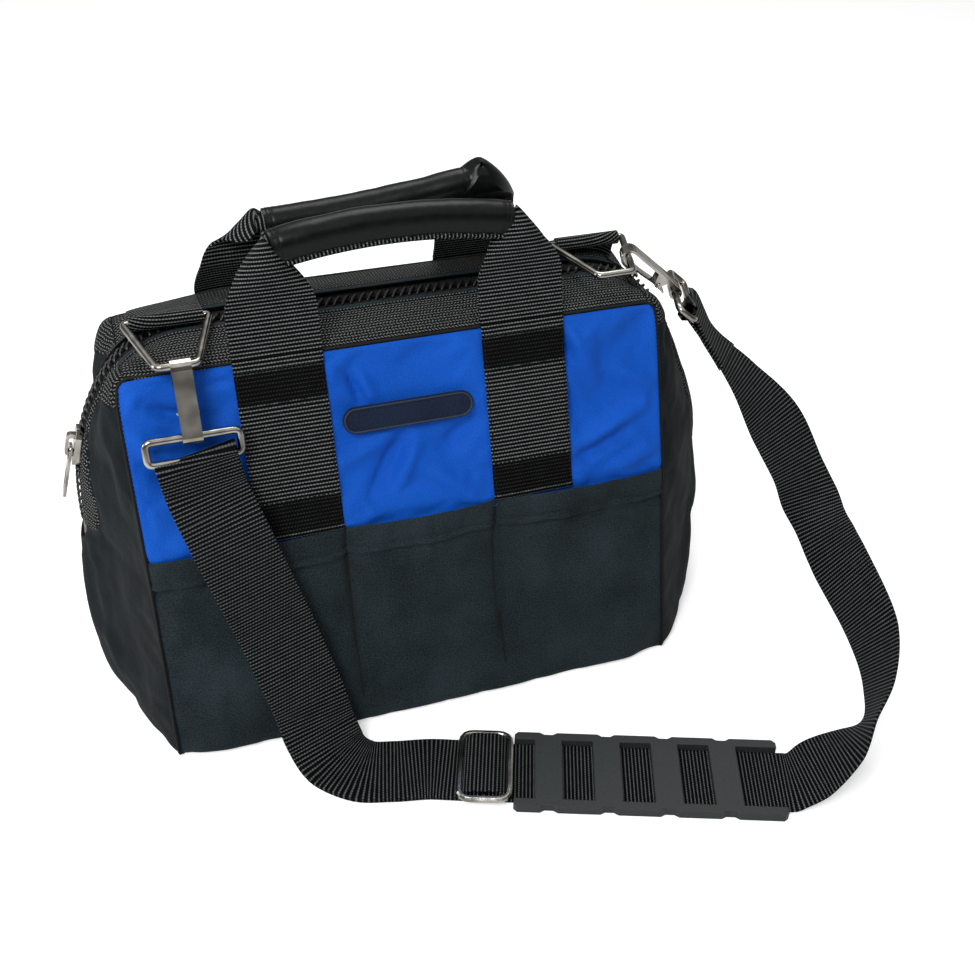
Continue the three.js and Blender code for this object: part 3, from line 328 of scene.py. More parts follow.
# A stitch and its gap in equal steps, and how many points of them the thread shows
STITCH_STEPS, STITCH_SHOWN = 6, 4


def stitches(parts, path, normal, pitch, radius, lift=0.1):
    """Thread that dips into the cloth between stitches, along a path on a surface."""
    points = resample(path, pitch / STITCH_STEPS)
    normal = unit(np.broadcast_to(np.asarray(normal, float), (len(path), 3)))
    normal = unit(respread(normal, len(points)))
    for start in range(0, len(points) - STITCH_SHOWN, STITCH_STEPS):
        shown = slice(start, start + STITCH_SHOWN)
        parts.add(*tube(points[shown] + normal[shown] * lift, radius, sides=5, up=normal[start]))


# Small hills and hollows
def value_noise(points, size, seed=0):
    p = np.asarray(points, float) / size + 17.13 * (seed + 1)
    base = np.floor(p).astype(np.int64)
    f = p - base
    f = f * f * (3 - 2 * f)

    def corner(step):
        q = base + np.array(step)
        n = q[..., 0] * 73856093 ^ q[..., 1] * 19349663 ^ q[..., 2] * 83492791
        n = (n ^ (n >> 13)) * 1274126177 & 0x7FFFFFFF
        n = (n ^ (n >> 15)) * 668265263 & 0x7FFFFFFF
        return n / 0x3FFFFFFF - 1

    return sum(
        np.prod(np.where(step, f, 1 - f), axis=-1) * corner(step) for step in np.ndindex(2, 2, 2)
    )


def layered_noise(points, size, seed=0, layers=3):
    return sum(value_noise(points, size / 2 ** i, seed + i) / 2 ** i for i in range(layers))


def folds(x, z, lines):
    """Ridges and hollows along straight lines: (x0, z0, x1, z1, half width, height)."""
    height = np.zeros(np.broadcast(x, z).shape)
    for x0, z0, x1, z1, width, rise in lines:
        dx, dz = x1 - x0, z1 - z0
        t = np.clip(((x - x0) * dx + (z - z0) * dz) / (dx * dx + dz * dz), 0, 1)
        away = np.hypot(x - x0 - t * dx, z - z0 - t * dz)
        taper = 0.35 + 0.65 * np.sin(np.pi * np.clip(t, 0.02, 0.98)) ** 0.7
        height += rise * taper * hill(away, width)
    return height


def round_foot(points):
    """Draws the last millimetres above the floor in under the bag."""
    points = np.array(points, float)
    drop = np.clip(FOOT_RADIUS - points[..., 2], 0, FOOT_RADIUS)
    inward = FOOT_RADIUS - np.sqrt(FOOT_RADIUS ** 2 - drop ** 2)
    points[..., 0] *= 1 - inward / BASE_HALF_LENGTH
    points[..., 1] *= 1 - inward / BASE_HALF_DEPTH
    return points


SETTLE_FRAMES, SETTLE_GRAVITY = 26, 0.2
CLOTH_SETTINGS = dict(
    quality=7, mass=0.15, tension_stiffness=40, compression_stiffness=40, shear_stiffness=20,
    bending_stiffness=0.35, vertex_group_mass="sewn",
)


def settle(grid, cap, spare, spacing=4.5, held=None):
    """Cloth simulation of a panel sewn along its edges with some spare length: the depth of
    its folds over the grid."""
    rows, columns = grid.shape[:2]
    i, j = (
        np.unique(np.linspace(0, count - 1, max(6, int(lengths(line)[-1] / spacing))).astype(int))
        for count, line in ((rows, grid[:, columns // 2]), (columns, grid[rows // 2]))
    )
    coarse = grid[np.ix_(i, j)]
    cloth = add_mesh("settling", coarse.reshape(-1, 3), quads(len(i), len(j)))
    sewn = np.pad(np.zeros((len(i) - 2, len(j) - 2), bool), 1, constant_values=True)
    if held is not None:
        sewn |= held[np.ix_(i, j)]
    pins = cloth.vertex_groups.new(name="sewn")
    pins.add(np.flatnonzero(sewn.ravel()).tolist(), 1.0, "REPLACE")
    modifier = cloth.modifiers.new("settle", "CLOTH")
    modifier.collision_settings.use_collision = False
    for key, value in CLOTH_SETTINGS.items():
        setattr(modifier.settings, key, value)
    modifier.settings.shrink_min = modifier.settings.shrink_max = -spare
    modifier.settings.effector_weights.gravity = SETTLE_GRAVITY
    for step in range(1, SETTLE_FRAMES + 1):
        bpy.context.scene.frame_set(step)
    settled = cloth.evaluated_get(bpy.context.evaluated_depsgraph_get())
    moved = (mesh_points(settled.data).reshape(coarse.shape) - metres(coarse)) * 1000
    bpy.context.scene.frame_set(1)
    bpy.data.objects.remove(cloth)
    depth = np.clip((moved * grid_normals(coarse)).sum(-1), -cap, cap)
    full = interpolated(np.arange(rows), i, depth)
    full = interpolated(np.arange(columns), j, full.T).T
    for _ in range(2):
        padded = np.pad(full, 1, mode="edge")
        around = padded[:-2, 1:-1] + padded[2:, 1:-1] + padded[1:-1, :-2] + padded[1:-1, 2:]
        full = around / 8 + full / 2
    return full


# Surfaces of the bag, as in its frame
def half_depth(z):
    z = np.asarray(z, float)
    low = lerp(BASE_HALF_DEPTH, POCKET_TOP_HALF_DEPTH, z / POCKET_TOP)
    high = lerp(POCKET_TOP_HALF_DEPTH, TOP_HALF_DEPTH, (z - POCKET_TOP) / (TOP_SEAM - POCKET_TOP))
    return np.where(z < POCKET_TOP, low, high)


def half_length(z, inset=0.0):
    z = np.asarray(z, float)
    low = lerp(BASE_HALF_LENGTH, BODY_HALF_LENGTH, z / ZIP_FOOT) - inset
    rise = np.clip((z - ZIP_FOOT) / (TOP_SEAM - ZIP_FOOT - inset), 0, 1)
    reach = (1 - rise ** SEAM_SQUARENESS) ** (1 / SEAM_SQUARENESS)
    high = CORNER_START + (BODY_HALF_LENGTH - CORNER_START - inset) * reach
    return np.where(z < ZIP_FOOT, low, high)


# How sharp the crease down the middle of an end is, as a share of its half depth
CREASE = 0.1


def strip_point(k, across):
    """The strip of cloth up the left end (k from 0), over the roof and down the right end."""
    k, across = np.broadcast_arrays(np.asarray(k, float), np.asarray(across, float))
    side = np.where(k < 0.5, -1.0, 1.0)
    along = 1 - 2 * np.abs(k - 0.5)
    round_swell = 1 - across ** 2
    creased_swell = 1 - (np.hypot(across, CREASE) - CREASE) / (math.hypot(1, CREASE) - CREASE)
    foot_z = ZIP_FOOT * along / END_SHARE
    sag = LOW_SAG * np.sin(np.pi * np.clip(along / END_SHARE, 0, 1)) ** 0.7 * round_swell
    left_swell = lerp(round_swell, creased_swell, 0.9)
    right_swell = lerp(round_swell, creased_swell, 0.95 * smooth(along, END_SHARE, 0.65))
    right_swell = right_swell * (1 - 0.22 * smooth(along, END_SHARE, 0.6))
    bulge = np.where(side < 0, LEFT_BULGE * left_swell, RIGHT_BULGE * right_swell)
    rise = (RIDGE - TOP_SEAM) * round_swell
    roof_x = lerp(CORNER_START, 0, (along - CORNER_SHARE) / (1 - CORNER_SHARE))
    turn = np.clip((along - END_SHARE) / (CORNER_SHARE - END_SHARE), 0, 1) * np.pi / 2
    square = lerp(np.where(side < 0, LEFT_SQUARENESS, RIGHT_SQUARENESS), SEAM_SQUARENESS, across ** 4)
    a = BODY_HALF_LENGTH - CORNER_START + bulge
    c = TOP_SEAM - ZIP_FOOT + rise
    angle = np.arctan2(c * np.sin(turn), a * np.cos(turn))
    reach = ((np.cos(angle) / a) ** square + (np.sin(angle) / c) ** square) ** (-1 / square)
    corner_x, corner_z = CORNER_START + reach * np.cos(angle), ZIP_FOOT + reach * np.sin(angle)
    foot, roof = along < END_SHARE, along > CORNER_SHARE
    x = np.where(foot, half_length(foot_z) + bulge + sag, np.where(roof, roof_x, corner_x))
    z = np.where(foot, foot_z, np.where(roof, TOP_SEAM + rise, corner_z))
    return np.stack([side * x, across * half_depth(z), z], axis=-1)


def tape_point(k, y):
    """A point of the strip at a distance from the zip's middle line."""
    point = strip_point(k, y / half_depth(strip_point(k, 0.0)[..., 2]))
    point[..., 1] = y
    return point


def sunk(k, y, depth):
    """A point beside the zip, moved in toward the middle of the bag."""
    step = 1e-3
    along = tape_point(np.clip(k + step, 0, 1), y) - tape_point(np.clip(k - step, 0, 1), y)
    over = tape_point(k, y + step) - tape_point(k, y - step)
    normal = unit(np.cross(along, over))
    point = tape_point(k, y)
    flip = ((point - np.array([0, 0, POCKET_TOP])) * normal).sum(-1, keepdims=True) < 0
    return point - np.where(flip, -normal, normal) * depth


# Materials
class Look:
    """The nodes of a material or a world; each call adds one and gives back one output of it."""

    def __init__(self, name, world=False, **settings):
        self.owner = (bpy.data.worlds if world else bpy.data.materials).new(name)
        self.owner.use_nodes = True
        self.tree = self.owner.node_tree
        self.shader = self.tree.nodes["Background" if world else "Principled BSDF"]
        self.set(**settings)

    def put(self, socket, value):
        if isinstance(value, bpy.types.NodeSocket):
            self.tree.links.new(value, socket)
        else:
            socket.default_value = value

    def set(self, **settings):
        for key, value in settings.items():
            self.put(self.shader.inputs[key.replace("_", " ")], value)

    def add(self, kind, inputs=None, output=0, **settings):
        node = self.tree.nodes.new("ShaderNode" + kind)
        for key, value in settings.items():
            setattr(node, key, value)
        for key, value in (inputs or {}).items():
            self.put(node.inputs[key], value)
        return node.outputs[output]

    def maths(self, operation, a, b=0.0):
        return self.add("Math", {0: a, 1: b}, operation=operation)

    def times(self, a, b):
        return self.maths("MULTIPLY", a, b)

    def plus(self, a, b):
        return self.maths("ADD", a, b)

    def place(self, kind="UV"):
        return self.add("TexCoord", output=kind)

    def axis(self, place, name):
        return self.add("SeparateXYZ", {0: place}, output=name)

    def noise(self, place, size, detail=3.0, roughness=0.5):
        inputs = {"Vector": place, "Scale": 1 / size, "Detail": detail, "Roughness": roughness}
        return self.add("TexNoise", inputs)

    def ramp(self, factor, stops):
        output = self.add("ValToRGB", {0: factor})
        elements = output.node.color_ramp.elements
        while len(elements) < len(stops):
            elements.new(0.5)
        for element, (position, colour) in zip(elements, stops):
            element.position = position
            element.color = (*colour, 1)
        return output

    def mix(self, factor, a, b):
        return self.add("Mix", {0: factor, 6: a, 7: b}, output=2, data_type="RGBA")

    def range(self, value, low, high, **settings):
        inputs = {"Value": value, "From Min": low, "From Max": high}
        return self.add("MapRange", inputs, **settings)

    def bump(self, height, distance, strength=1.0, normal=None):
        inputs = {"Height": height, "Distance": distance, "Strength": strength}
        if normal is not None:
            inputs["Normal"] = normal
        return self.add("Bump", inputs)

    def ribs(self, value, pitch):
        """Rounded ribs with narrow grooves, 0 in a groove and 1 on a crown."""
        return self.maths("ABSOLUTE", self.maths("SINE", self.times(value, math.pi / pitch)))


def grey(level, tint=(1, 1, 1)):
    return tuple(level * t for t in tint)


def cloth_look(name, dark, light, roughness=0.75, thread=0.9, crumple_depth=0.0012, sheen=0.03):
    """Woven polyester: a fine plain weave, bright specks of thread, blotches and small crumples."""
    look = Look(
        name, Roughness=roughness, Sheen_Weight=sheen, Sheen_Roughness=0.5, Specular_IOR_Level=0.12,
    )
    uv, solid = look.place(), look.place("Object")
    weave = look.times(look.ribs(look.axis(uv, "X"), thread), look.ribs(look.axis(uv, "Y"), thread))
    grain = look.noise(uv, 0.9, 2.0, 0.75)
    blotch = look.noise(solid, 0.03, 5.0)
    factor = look.plus(look.times(grain, 0.75), look.times(blotch, 0.25))
    look.set(Base_Color=look.ramp(factor, [(0.38, dark), (0.62, light)]))
    rough = look.bump(look.noise(solid, 0.011, 4.0), crumple_depth)
    look.set(Normal=look.bump(weave, 0.00012, 0.8, rough))
    return look.owner


RIB, FIBRE, RAGGED = 2.1, 1.7, 3


def webbing_look(name, dark, light, matted=()):
    """Woven tape: ribs across its width, broken into fibre bundles. Matted stretches, given by
    their lengths along the tape, are dark and smooth as where close stitching lies."""
    look = Look(name, Roughness=0.75, Specular_IOR_Level=0.06)
    uv = look.place()
    u, v = look.axis(uv, "X"), look.axis(uv, "Y")
    row = look.maths("FLOOR", look.maths("DIVIDE", v, RIB))
    bundles = look.ribs(look.plus(u, look.times(row, FIBRE / 2)), FIBRE)
    ribs = look.ribs(v, RIB)
    height = look.times(ribs, look.plus(look.times(bundles, 0.45), 0.55))
    # A slow noise that makes the painted rib highlight stronger or weaker from place to place.
    highlight_wander = look.noise(uv, 7.0, 3.0, 0.6)
    grain = look.noise(uv, 0.7, 2.0, 0.7)
    lit = look.plus(look.times(bundles, 0.85), 0.2)
    lit = look.times(lit, look.plus(look.times(grain, 1.1), 0.45))
    # Painted highlight: a light colour along the top of each rib, broken up by the fibre bundles and
    # grain.
    painted_rib_highlight = look.times(look.times(look.range(ribs, 0.78, 0.98), lit), look.plus(highlight_wander, 0.5))
    for ends in matted:
        ragged = look.plus(v, look.times(look.noise(uv, 4.0), RAGGED))
        rise, fall = (
            look.range(ragged, end, end + RAGGED, interpolation_type="SMOOTHSTEP") for end in ends
        )
        keep = look.maths("SUBTRACT", 1.0, look.times(look.maths("SUBTRACT", rise, fall), 0.85))
        painted_rib_highlight = look.times(painted_rib_highlight, keep)
        height = look.times(height, keep)
    # The ramp's light end is the painted rib highlight. Its dark end is the tape's own black.
    look.set(Base_Color=look.ramp(painted_rib_highlight, [(0.05, dark), (0.95, light)]))
    look.set(Normal=look.bump(height, 0.0006, 0.9))
    return look.owner


DASH_PITCH, DASH_ROW, DASH_SLANT = 1.9, 2.2, 0.9


def mesh_look(name, dark, light):
    """Knitted band: rows of short dashes that slant one way and then the other."""
    look = Look(name, Roughness=0.75, Specular_IOR_Level=0.1)
    uv = look.place()
    u, v = look.axis(uv, "X"), look.axis(uv, "Y")
    row = look.maths("FLOOR", look.maths("DIVIDE", v, DASH_ROW))
    way = look.maths("SUBTRACT", look.times(look.maths("PINGPONG", row, 1.0), 2.0), 1.0)
    slanted = look.plus(u, look.times(look.times(v, way), DASH_SLANT))
    height = look.times(look.ribs(slanted, DASH_PITCH), look.ribs(v, DASH_ROW))
    lit = look.times(height, look.plus(look.noise(uv, 1.2, 2.0, 0.7), 0.5))
    look.set(Base_Color=look.ramp(lit, [(0.48, dark), (0.85, light)]))
    look.set(Normal=look.bump(height, 0.0008, 0.9))
    return look.owner


def plain_look(name, colours, roughness, size=0.004, bump=0.0002, octaves=5.0, **settings):
    """A smooth surface whose colour and polish wander between two ends over some size."""
    look = Look(name, **settings)
    grain = look.noise(look.place("Object"), size, octaves, 0.6)
    look.set(Base_Color=look.ramp(grain, list(zip((0.3, 0.7), colours))))
    low, high = roughness
    look.set(Roughness=look.plus(look.times(grain, high - low), low))
    look.set(Normal=look.bump(grain, bump, 0.6))
    return look.owner


STRIP_MATTED = ((-216, -198), (-145, -127))
COOL, GLOVE, SLATE = (0.6, 1, 1.2), (0.8, 1, 1), (0.85, 1, 0.98)
BLACK_CLOTH = cloth_look("black_cloth", grey(0.004, COOL), grey(0.034, COOL))
# Painted shade: the ends use a darker copy of the black cloth with less sheen, so that they render as
# dark as the other black panels.
SHADED_END_CLOTH = cloth_look("end_cloth_painted_shade", grey(0.0015, COOL), grey(0.013, COOL), sheen=0.01)
BLUE_CLOTH = cloth_look("blue_cloth", (0.001, 0.062, 0.40), (0.003, 0.096, 0.53), 0.6, 0.7, 0.0006)
# The webbing's light colours are painted highlights for the rib crowns. The shoulder strap's is dimmer.
# The dark colour is the tape's own black.
WEBBING_DARK, WEBBING_HIGHLIGHT = grey(0.001), grey(0.18, (0.92, 1, 1))
HANDLE_WEBBING = webbing_look("handle_webbing", WEBBING_DARK, WEBBING_HIGHLIGHT)
STRIP_WEBBING = webbing_look("strip_webbing", WEBBING_DARK, WEBBING_HIGHLIGHT, STRIP_MATTED)
STRAP_WEBBING = webbing_look("strap_webbing", WEBBING_DARK, grey(0.105, (0.9, 1, 1.02)))
BAND_MESH = mesh_look("band_mesh", grey(0.001), grey(0.17, (0.95, 1, 0.98)))
THREAD = plain_look(
    "black_thread", (grey(0.004), grey(0.010)), (0.6, 0.8), 0.0008, Specular_IOR_Level=0.2,
)
GRIP = plain_look(
    "grip_leather", (grey(0.002, GLOVE), grey(0.005, GLOVE)), (0.24, 0.36), 0.003,
    Specular_IOR_Level=0.17,
)
TEETH = plain_look("zip_plastic", (grey(0.005), grey(0.011)), (0.3, 0.42), 0.002, 0.00005)
TAPE = cloth_look("zip_tape", grey(0.003), grey(0.010))
NICKEL = plain_look(
    "nickel", (grey(0.20, (1, 0.94, 0.82)), grey(0.46, (1, 0.96, 0.88))), (0.12, 0.24), 0.012,
    0.0006, 1.0, Metallic=1.0,
)
RUBBER = plain_look(
    "pad_rubber", (grey(0.022, SLATE), grey(0.032, SLATE)), (0.5, 0.65), 0.0015, 0.00012,
    Specular_IOR_Level=0.3,
)
NAVY = cloth_look("label_navy", (0.002, 0.006, 0.018), (0.010, 0.020, 0.045), 0.6, 0.7, 0.0004)
# Lighter than the patch's navy: painted highlight along the label's raised rim.
RIM_HIGHLIGHT = plain_look("label_rim_painted_highlight", ((0.006, 0.013, 0.03), (0.018, 0.032, 0.06)), (0.5, 0.7), 0.0012)
BOARD = plain_look("board", (grey(0.02), grey(0.03)), (0.7, 0.9))


# Straps
def catmull(points, t):
    points = np.asarray(points, float)
    place = t * (len(points) - 1)
    i = min(int(place), len(points) - 2)
    w = place - i
    p1, p2 = points[i], points[i + 1]
    p0 = points[i - 1] if i else 2 * p1 - p2
    p3 = points[i + 2] if i + 2 < len(points) else 2 * p2 - p1
    d0, d1, d2 = (
        max(np.linalg.norm(b - a), 1e-8) ** 0.5 for a, b in ((p0, p1), (p1, p2), (p2, p3))
    )
    m1 = ((p1 - p0) / d0 - (p2 - p0) / (d0 + d1) + (p2 - p1) / d1) * d1
    m2 = ((p2 - p1) / d1 - (p3 - p1) / (d1 + d2) + (p3 - p2) / d2) * d1
    return (
        (2 * w ** 3 - 3 * w ** 2 + 1) * p1 + (w ** 3 - 2 * w ** 2 + w) * m1
        + (3 * w ** 2 - 2 * w ** 3) * p2 + (w ** 3 - w ** 2) * m2
    )


class Route:
    """A strap's middle line with the direction of its width, by length from the loop."""

    def __init__(self, stops):
        shares = np.linspace(0, 1, 1200)
        self.line, self.turn = (
            np.array([catmull([stop[k] for stop in stops], t) for t in shares]) for k in (0, 1)
        )
        self.along = lengths(self.line)
        self.length = self.along[-1]

    def at(self, s):
        """Points with the directions across the strap and out of its face."""
        s = np.asarray(s, float)
        point, ahead, behind = (interpolated(s + d, self.along, self.line) for d in (0, 1, -1))
        run = unit(ahead - behind)
        across = square_to(interpolated(s, self.along, self.turn), run)
        return point, across, np.cross(run, across)


# Half a woven tape's section: places across its width, and how its soft edges thin out
RIBBON_ACROSS = np.array([-1, -0.992, -0.97, -0.93, -0.6, -0.2, 0.2, 0.6, 0.93, 0.97, 0.992, 1])
RIBBON_EDGE = 0.05
RIBBON_RISE = np.sqrt(np.clip(
    1 - (np.clip(np.abs(RIBBON_ACROSS) - (1 - RIBBON_EDGE), 0, None) / RIBBON_EDGE) ** 2, 0.04, 1,
))


def ribbon(parts, point, across, up, width, thickness=WEBBING, start=0.0, offset=0.0, narrowed=None):
    """A woven tape with soft edges along a line of frames."""
    narrowed = np.ones(len(point)) if narrowed is None else narrowed
    sides = [
        np.stack([RIBBON_ACROSS * width / 2, way * RIBBON_RISE * thickness / 2 + offset], axis=1)
        for way in (1, -1)
    ]
    section = np.concatenate([sides[0], sides[1][::-1]])
    rings = (
        point[:, None] + (section[None, :, :1] * narrowed[:, None, None]) * across[:, None]
        + section[None, :, 1:] * up[:, None]
    )
    rows, columns = rings.shape[:2]
    faces = quads(rows, columns, closed_columns=True)
    for base, turn in ((0, 1), ((rows - 1) * columns, -1)):
        for i in range(len(RIBBON_ACROSS) - 1):
            face = [base + i, base + i + 1, base + columns - 2 - i, base + columns - 1 - i]
            faces.append(face[::turn])
    parts.add(rings, faces, stacked(section[None, :, 0], (start + lengths(point))[:, None]))


# The strap loops: middle of the upper bar, direction of the bars, and up
LEFT_LOOP = (
    np.array([-117, -62.964, 193.791]), np.array([1, 0, 0]), np.array([0, 0.26724, 0.96363]),
)
RIGHT_LOOP = (
    np.array([174.679, -18.855, 213.121]), np.array([0.30902, 0.95106, 0]),
    np.array([-0.72855, 0.23672, 0.64279]),
)
BAR_DROP = LOOP_HEIGHT + WIRE + 0.9
FLOOR_START, FLOOR_TURN = np.array([11.5, -162, 0]), math.radians(-20.2)
FLOOR_RUN = np.array([math.cos(FLOOR_TURN), math.sin(FLOOR_TURN), 0])
FLOOR_ACROSS = np.array([-FLOOR_RUN[1], FLOOR_RUN[0], 0])
DOUBLED_Z, SINGLE_Z = 2.1, 1.1
PAD_END = 169


def on_floor(s, z):
    """A stop of a route on the floor's straight stretch."""
    return FLOOR_START + FLOOR_RUN * s + np.array([0, 0, z]), FLOOR_ACROSS


def bar_stop(loop, way):
    """A stop of a route where the strap leaves its loop's lower bar."""
    return loop[0] - loop[2] * BAR_DROP, way * loop[1]


left_route = Route([
    bar_stop(LEFT_LOOP, 1),
    ((-114, -69.5, 162), (0.99, 0.02, 0.1)),
    ((-108, -82.5, 144.5), (0.96, 0.06, 0.26)),
    ((-97, -90.5, 106.5), (0.95, 0.08, 0.27)),
    ((-89, -93.5, 78), (0.95, 0.1, 0.25)),
    ((-83, -101, 56), (0.95, 0.12, 0.22)),
    ((-77, -108.5, 34), (0.95, 0.15, 0.17)),
    ((-73, -117, 15), (0.95, 0.2, 0.1)),
    ((-67, -130, 5), (0.9, 0.4, 0)),
    ((-55, -141, DOUBLED_Z + 0.3), (0.7, 0.7, 0)),
    ((-38, -146.5, DOUBLED_Z), (0.42, 0.91, 0)),
    on_floor(-32, DOUBLED_Z),
    on_floor(-16, DOUBLED_Z),
    on_floor(10, DOUBLED_Z),
])
right_route = Route([
    bar_stop(RIGHT_LOOP, -1),
    ((193, -32.9, 187.8), (-0.61, -0.69, 0.4)),
    ((210.6, -51.2, 165.3), (-0.65, -0.76, -0.01)),
    ((226.4, -70.6, 140.3), (-0.91, -0.39, -0.16)),
    ((235.4, -88.4, 117), (-0.97, -0.2, 0.13)),
    ((238.8, -104.3, 101.4), (-0.83, -0.36, -0.43)),
    ((240.2, -131.3, 85.9), (-0.37, 0.26, -0.89)),
    ((239.6, -185.2, 63.2), (-0.22, 0.4, -0.89)),
    ((231, -208.8, 48.3), (0.1, 0.6, -0.8)),
    ((220.2, -220.7, 36.4), (0.37, 0.62, -0.69)),
    ((206.6, -225.3, 24.9), (0.32, 0.88, -0.35)),
    ((187.3, -224.2, 9.8), (0.16, 0.98, -0.07)),
    ((178.2, -223, 2.9), (0.29, 0.95, -0.06)),
    on_floor(PAD_END + 5, SINGLE_Z + 0.3),
    on_floor(PAD_END, SINGLE_Z),
    on_floor(PAD_END - 8, SINGLE_Z),
    on_floor(PAD_END - 30, SINGLE_Z),
    on_floor(10.3, SINGLE_Z),
])

# Where the stretches of strap start, by length from the bar: loop, hook, ring and mouth
LEFT_CUTS, RIGHT_CUTS = (0, 30, 50, 72), (0, 38, 68, 104)
# Half the distance between the left side's two layers
LAYER = 1.0
# The right side curls up across its width at one place, which makes it look narrower
CUPPED, CUP_AT, CUP_REACH = 0.25, 154, 15
# Where the bend of the strap's end starts, and where its wrap round the bar leaves the route
WRAP_START, WRAP_END = 8, 16


def strap_layers(parts, route, start, end):
    s = np.linspace(start, end, max(3, int((end - start) / 2)))
    left = route is left_route
    narrowed = None if left else 1 - CUPPED * hill(s - CUP_AT, CUP_REACH)
    for offset in (LAYER, -LAYER) if left else (0,):
        ribbon(parts, *route.at(s), STRAP_WIDTH, WEBBING, start, offset, narrowed)


def wrap_bar(parts, loop, route, last):
    """The strap's end comes up behind, turns over the loop's lower bar and runs down in front."""
    centre, x_axis, z_axis = loop
    centre = centre - z_axis * LOOP_HEIGHT
    radius = WIRE + 0.3 + WEBBING / 2
    low = np.linspace(last, WRAP_END, max(3, int((last - WRAP_END) / 2)))
    point, across, up = route.at(low)
    away = unit(np.cross(x_axis, z_axis))
    away = away if (away * up[-1]).sum() > 0 else -away
    turn = np.radians(np.linspace(-20, 200, 22))[:, None]
    over = centre + radius * (np.cos(turn) * -away + np.sin(turn) * z_axis)
    line = np.concatenate([point - up * LAYER, over, (point + up * LAYER)[::-1]])
    width = np.concatenate([across, np.broadcast_to(across[-1], over.shape), across[::-1]])
    line = resample(line, 1.5)
    width = respread(width, len(line))
    for _ in range(3):
        line[1:-1] = (line[:-2] + 2 * line[1:-1] + line[2:]) / 4
    run = unit(np.gradient(line, axis=0))
    width = square_to(width, run)
    ribbon(parts, line, width, np.cross(run, width), STRAP_WIDTH)


def strap_end(side, loop, route, cuts):
    """The strap from its loop to the mouth, in stretches from the loop to the hook, the hook to the
    ring and the ring to the mouth.
    """
    bodies = [f"{side}_loop", f"{side}_hook", f"{side}_ring", "back_mouth"]
    pieces = []
    for i, node in enumerate(("end", "hook", "ring")):
        parts = Parts()
        if i == 0:
            wrap_bar(parts, loop, route, cuts[1])
        else:
            strap_layers(parts, route, cuts[i], cuts[i + 1])
        piece = parts.piece(f"webbing_{side}_{bodies[i + 1]}", STRAP_WEBBING)
        low = cuts[i] + 2 if i else WRAP_START
        start, end = route.at([low, cuts[i + 1] - 2])[0]
        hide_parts(f"strap_{side}_{node}")
        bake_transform(piece)
        pieces.append(piece)
    return pieces


def main_strap():
    """The strap from mouth to mouth over the floor, and its middle line."""
    parts = Parts()
    for route, cuts in ((left_route, LEFT_CUTS), (right_route, RIGHT_CUTS)):
        strap_layers(parts, route, cuts[-1], route.length)
    strap = parts.piece("shoulder_strap", STRAP_WEBBING)
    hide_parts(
        "strap_left_mouth", "strap_left_floor", "strap_right_mouth", "strap_right_floor",
    )
    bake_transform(strap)
    left = left_route.at(np.arange(LEFT_CUTS[-1], left_route.length, 4))[0]
    right = right_route.at(np.arange(RIGHT_CUTS[-1], right_route.length, 4))[0]
    return strap, metres(np.concatenate([left, right[::-1]]))


strap_ends = strap_end("left", LEFT_LOOP, left_route, LEFT_CUTS)
strap_ends += strap_end("right", RIGHT_LOOP, right_route, RIGHT_CUTS)
shoulder_strap, strap_path = main_strap()


# Panels of the bag
def end_panel(side, half):
    """Half of an end panel, from the floor to the roof band, between a seam and the zip."""
    k = np.linspace(0, 0.5, 1500)
    middle_z = strip_point(k, 0.0)[:, 2]
    slot = SLOT_HALF_WIDTH / half_depth(middle_z) * smooth(middle_z, SLOT_FOOT - 6, SLOT_FOOT + 6)
    columns = []
    for share in np.linspace(0, 1, 34):
        line = strip_point(k if side < 0 else 1 - k, half * lerp(1.0, slot, share))
        past = (np.abs(line[:, 0]) < BAND_HALF_LENGTH) & (line[:, 2] > 150)
        last = np.argmax(past) if past.any() else len(line)
        first = np.argmax(line[:, 2] > 0.5)
        columns.append(resample(line[first:last], count=96))
    return np.stack(columns, axis=1)


def dress_end(side, half):
    """The cloth of half an end panel, and which of its faces are mesh."""
    grid = end_panel(side, half)
    height, depth = grid[..., 2], np.abs(grid[..., 1])
    seam_depth = half_depth(height)
    share = depth / seam_depth
    shape = folds(depth, height, END_FOLDS[(side, half)])
    shape += 1.0 * layered_noise(grid, 55, seed=3, layers=3)
    shape += 0.3 * layered_noise(grid, 14, seed=9, layers=2)
    free = smooth(1 - share, 0.0, 0.12) * smooth(share, 0.05, 0.2)
    shape = shape * free
    shape += settle(raised(grid, shape), 3.0, 0.012, spacing=6) * smooth(1 - share, 0, 0.06)
    shape -= 0.9 * hill((1 - share) * seam_depth, 2.2)
    shape -= 0.8 * hill(depth, 2.0) * (1 - smooth(height, 90, 104))
    shape = np.minimum(shape, 0.8 + 3.5 * free)
    beside_zip = MESH_BESIDE_ZIP + 13 * smooth(170 - height, 0, 40)
    meshed = np.where(height > MESH_TOP, seam_depth, beside_zip)
    meshed = np.where(height > ZIP_FOOT + 4, meshed, 0)
    shape += 0.7 * smooth(meshed - depth, -1, 1) - 0.9 * hill(depth - meshed, 1.4)
    return round_foot(raised(grid, shape)), (depth < meshed)[:-1, :-1]


MESH_BESIDE_ZIP, MESH_TOP = 12, 206
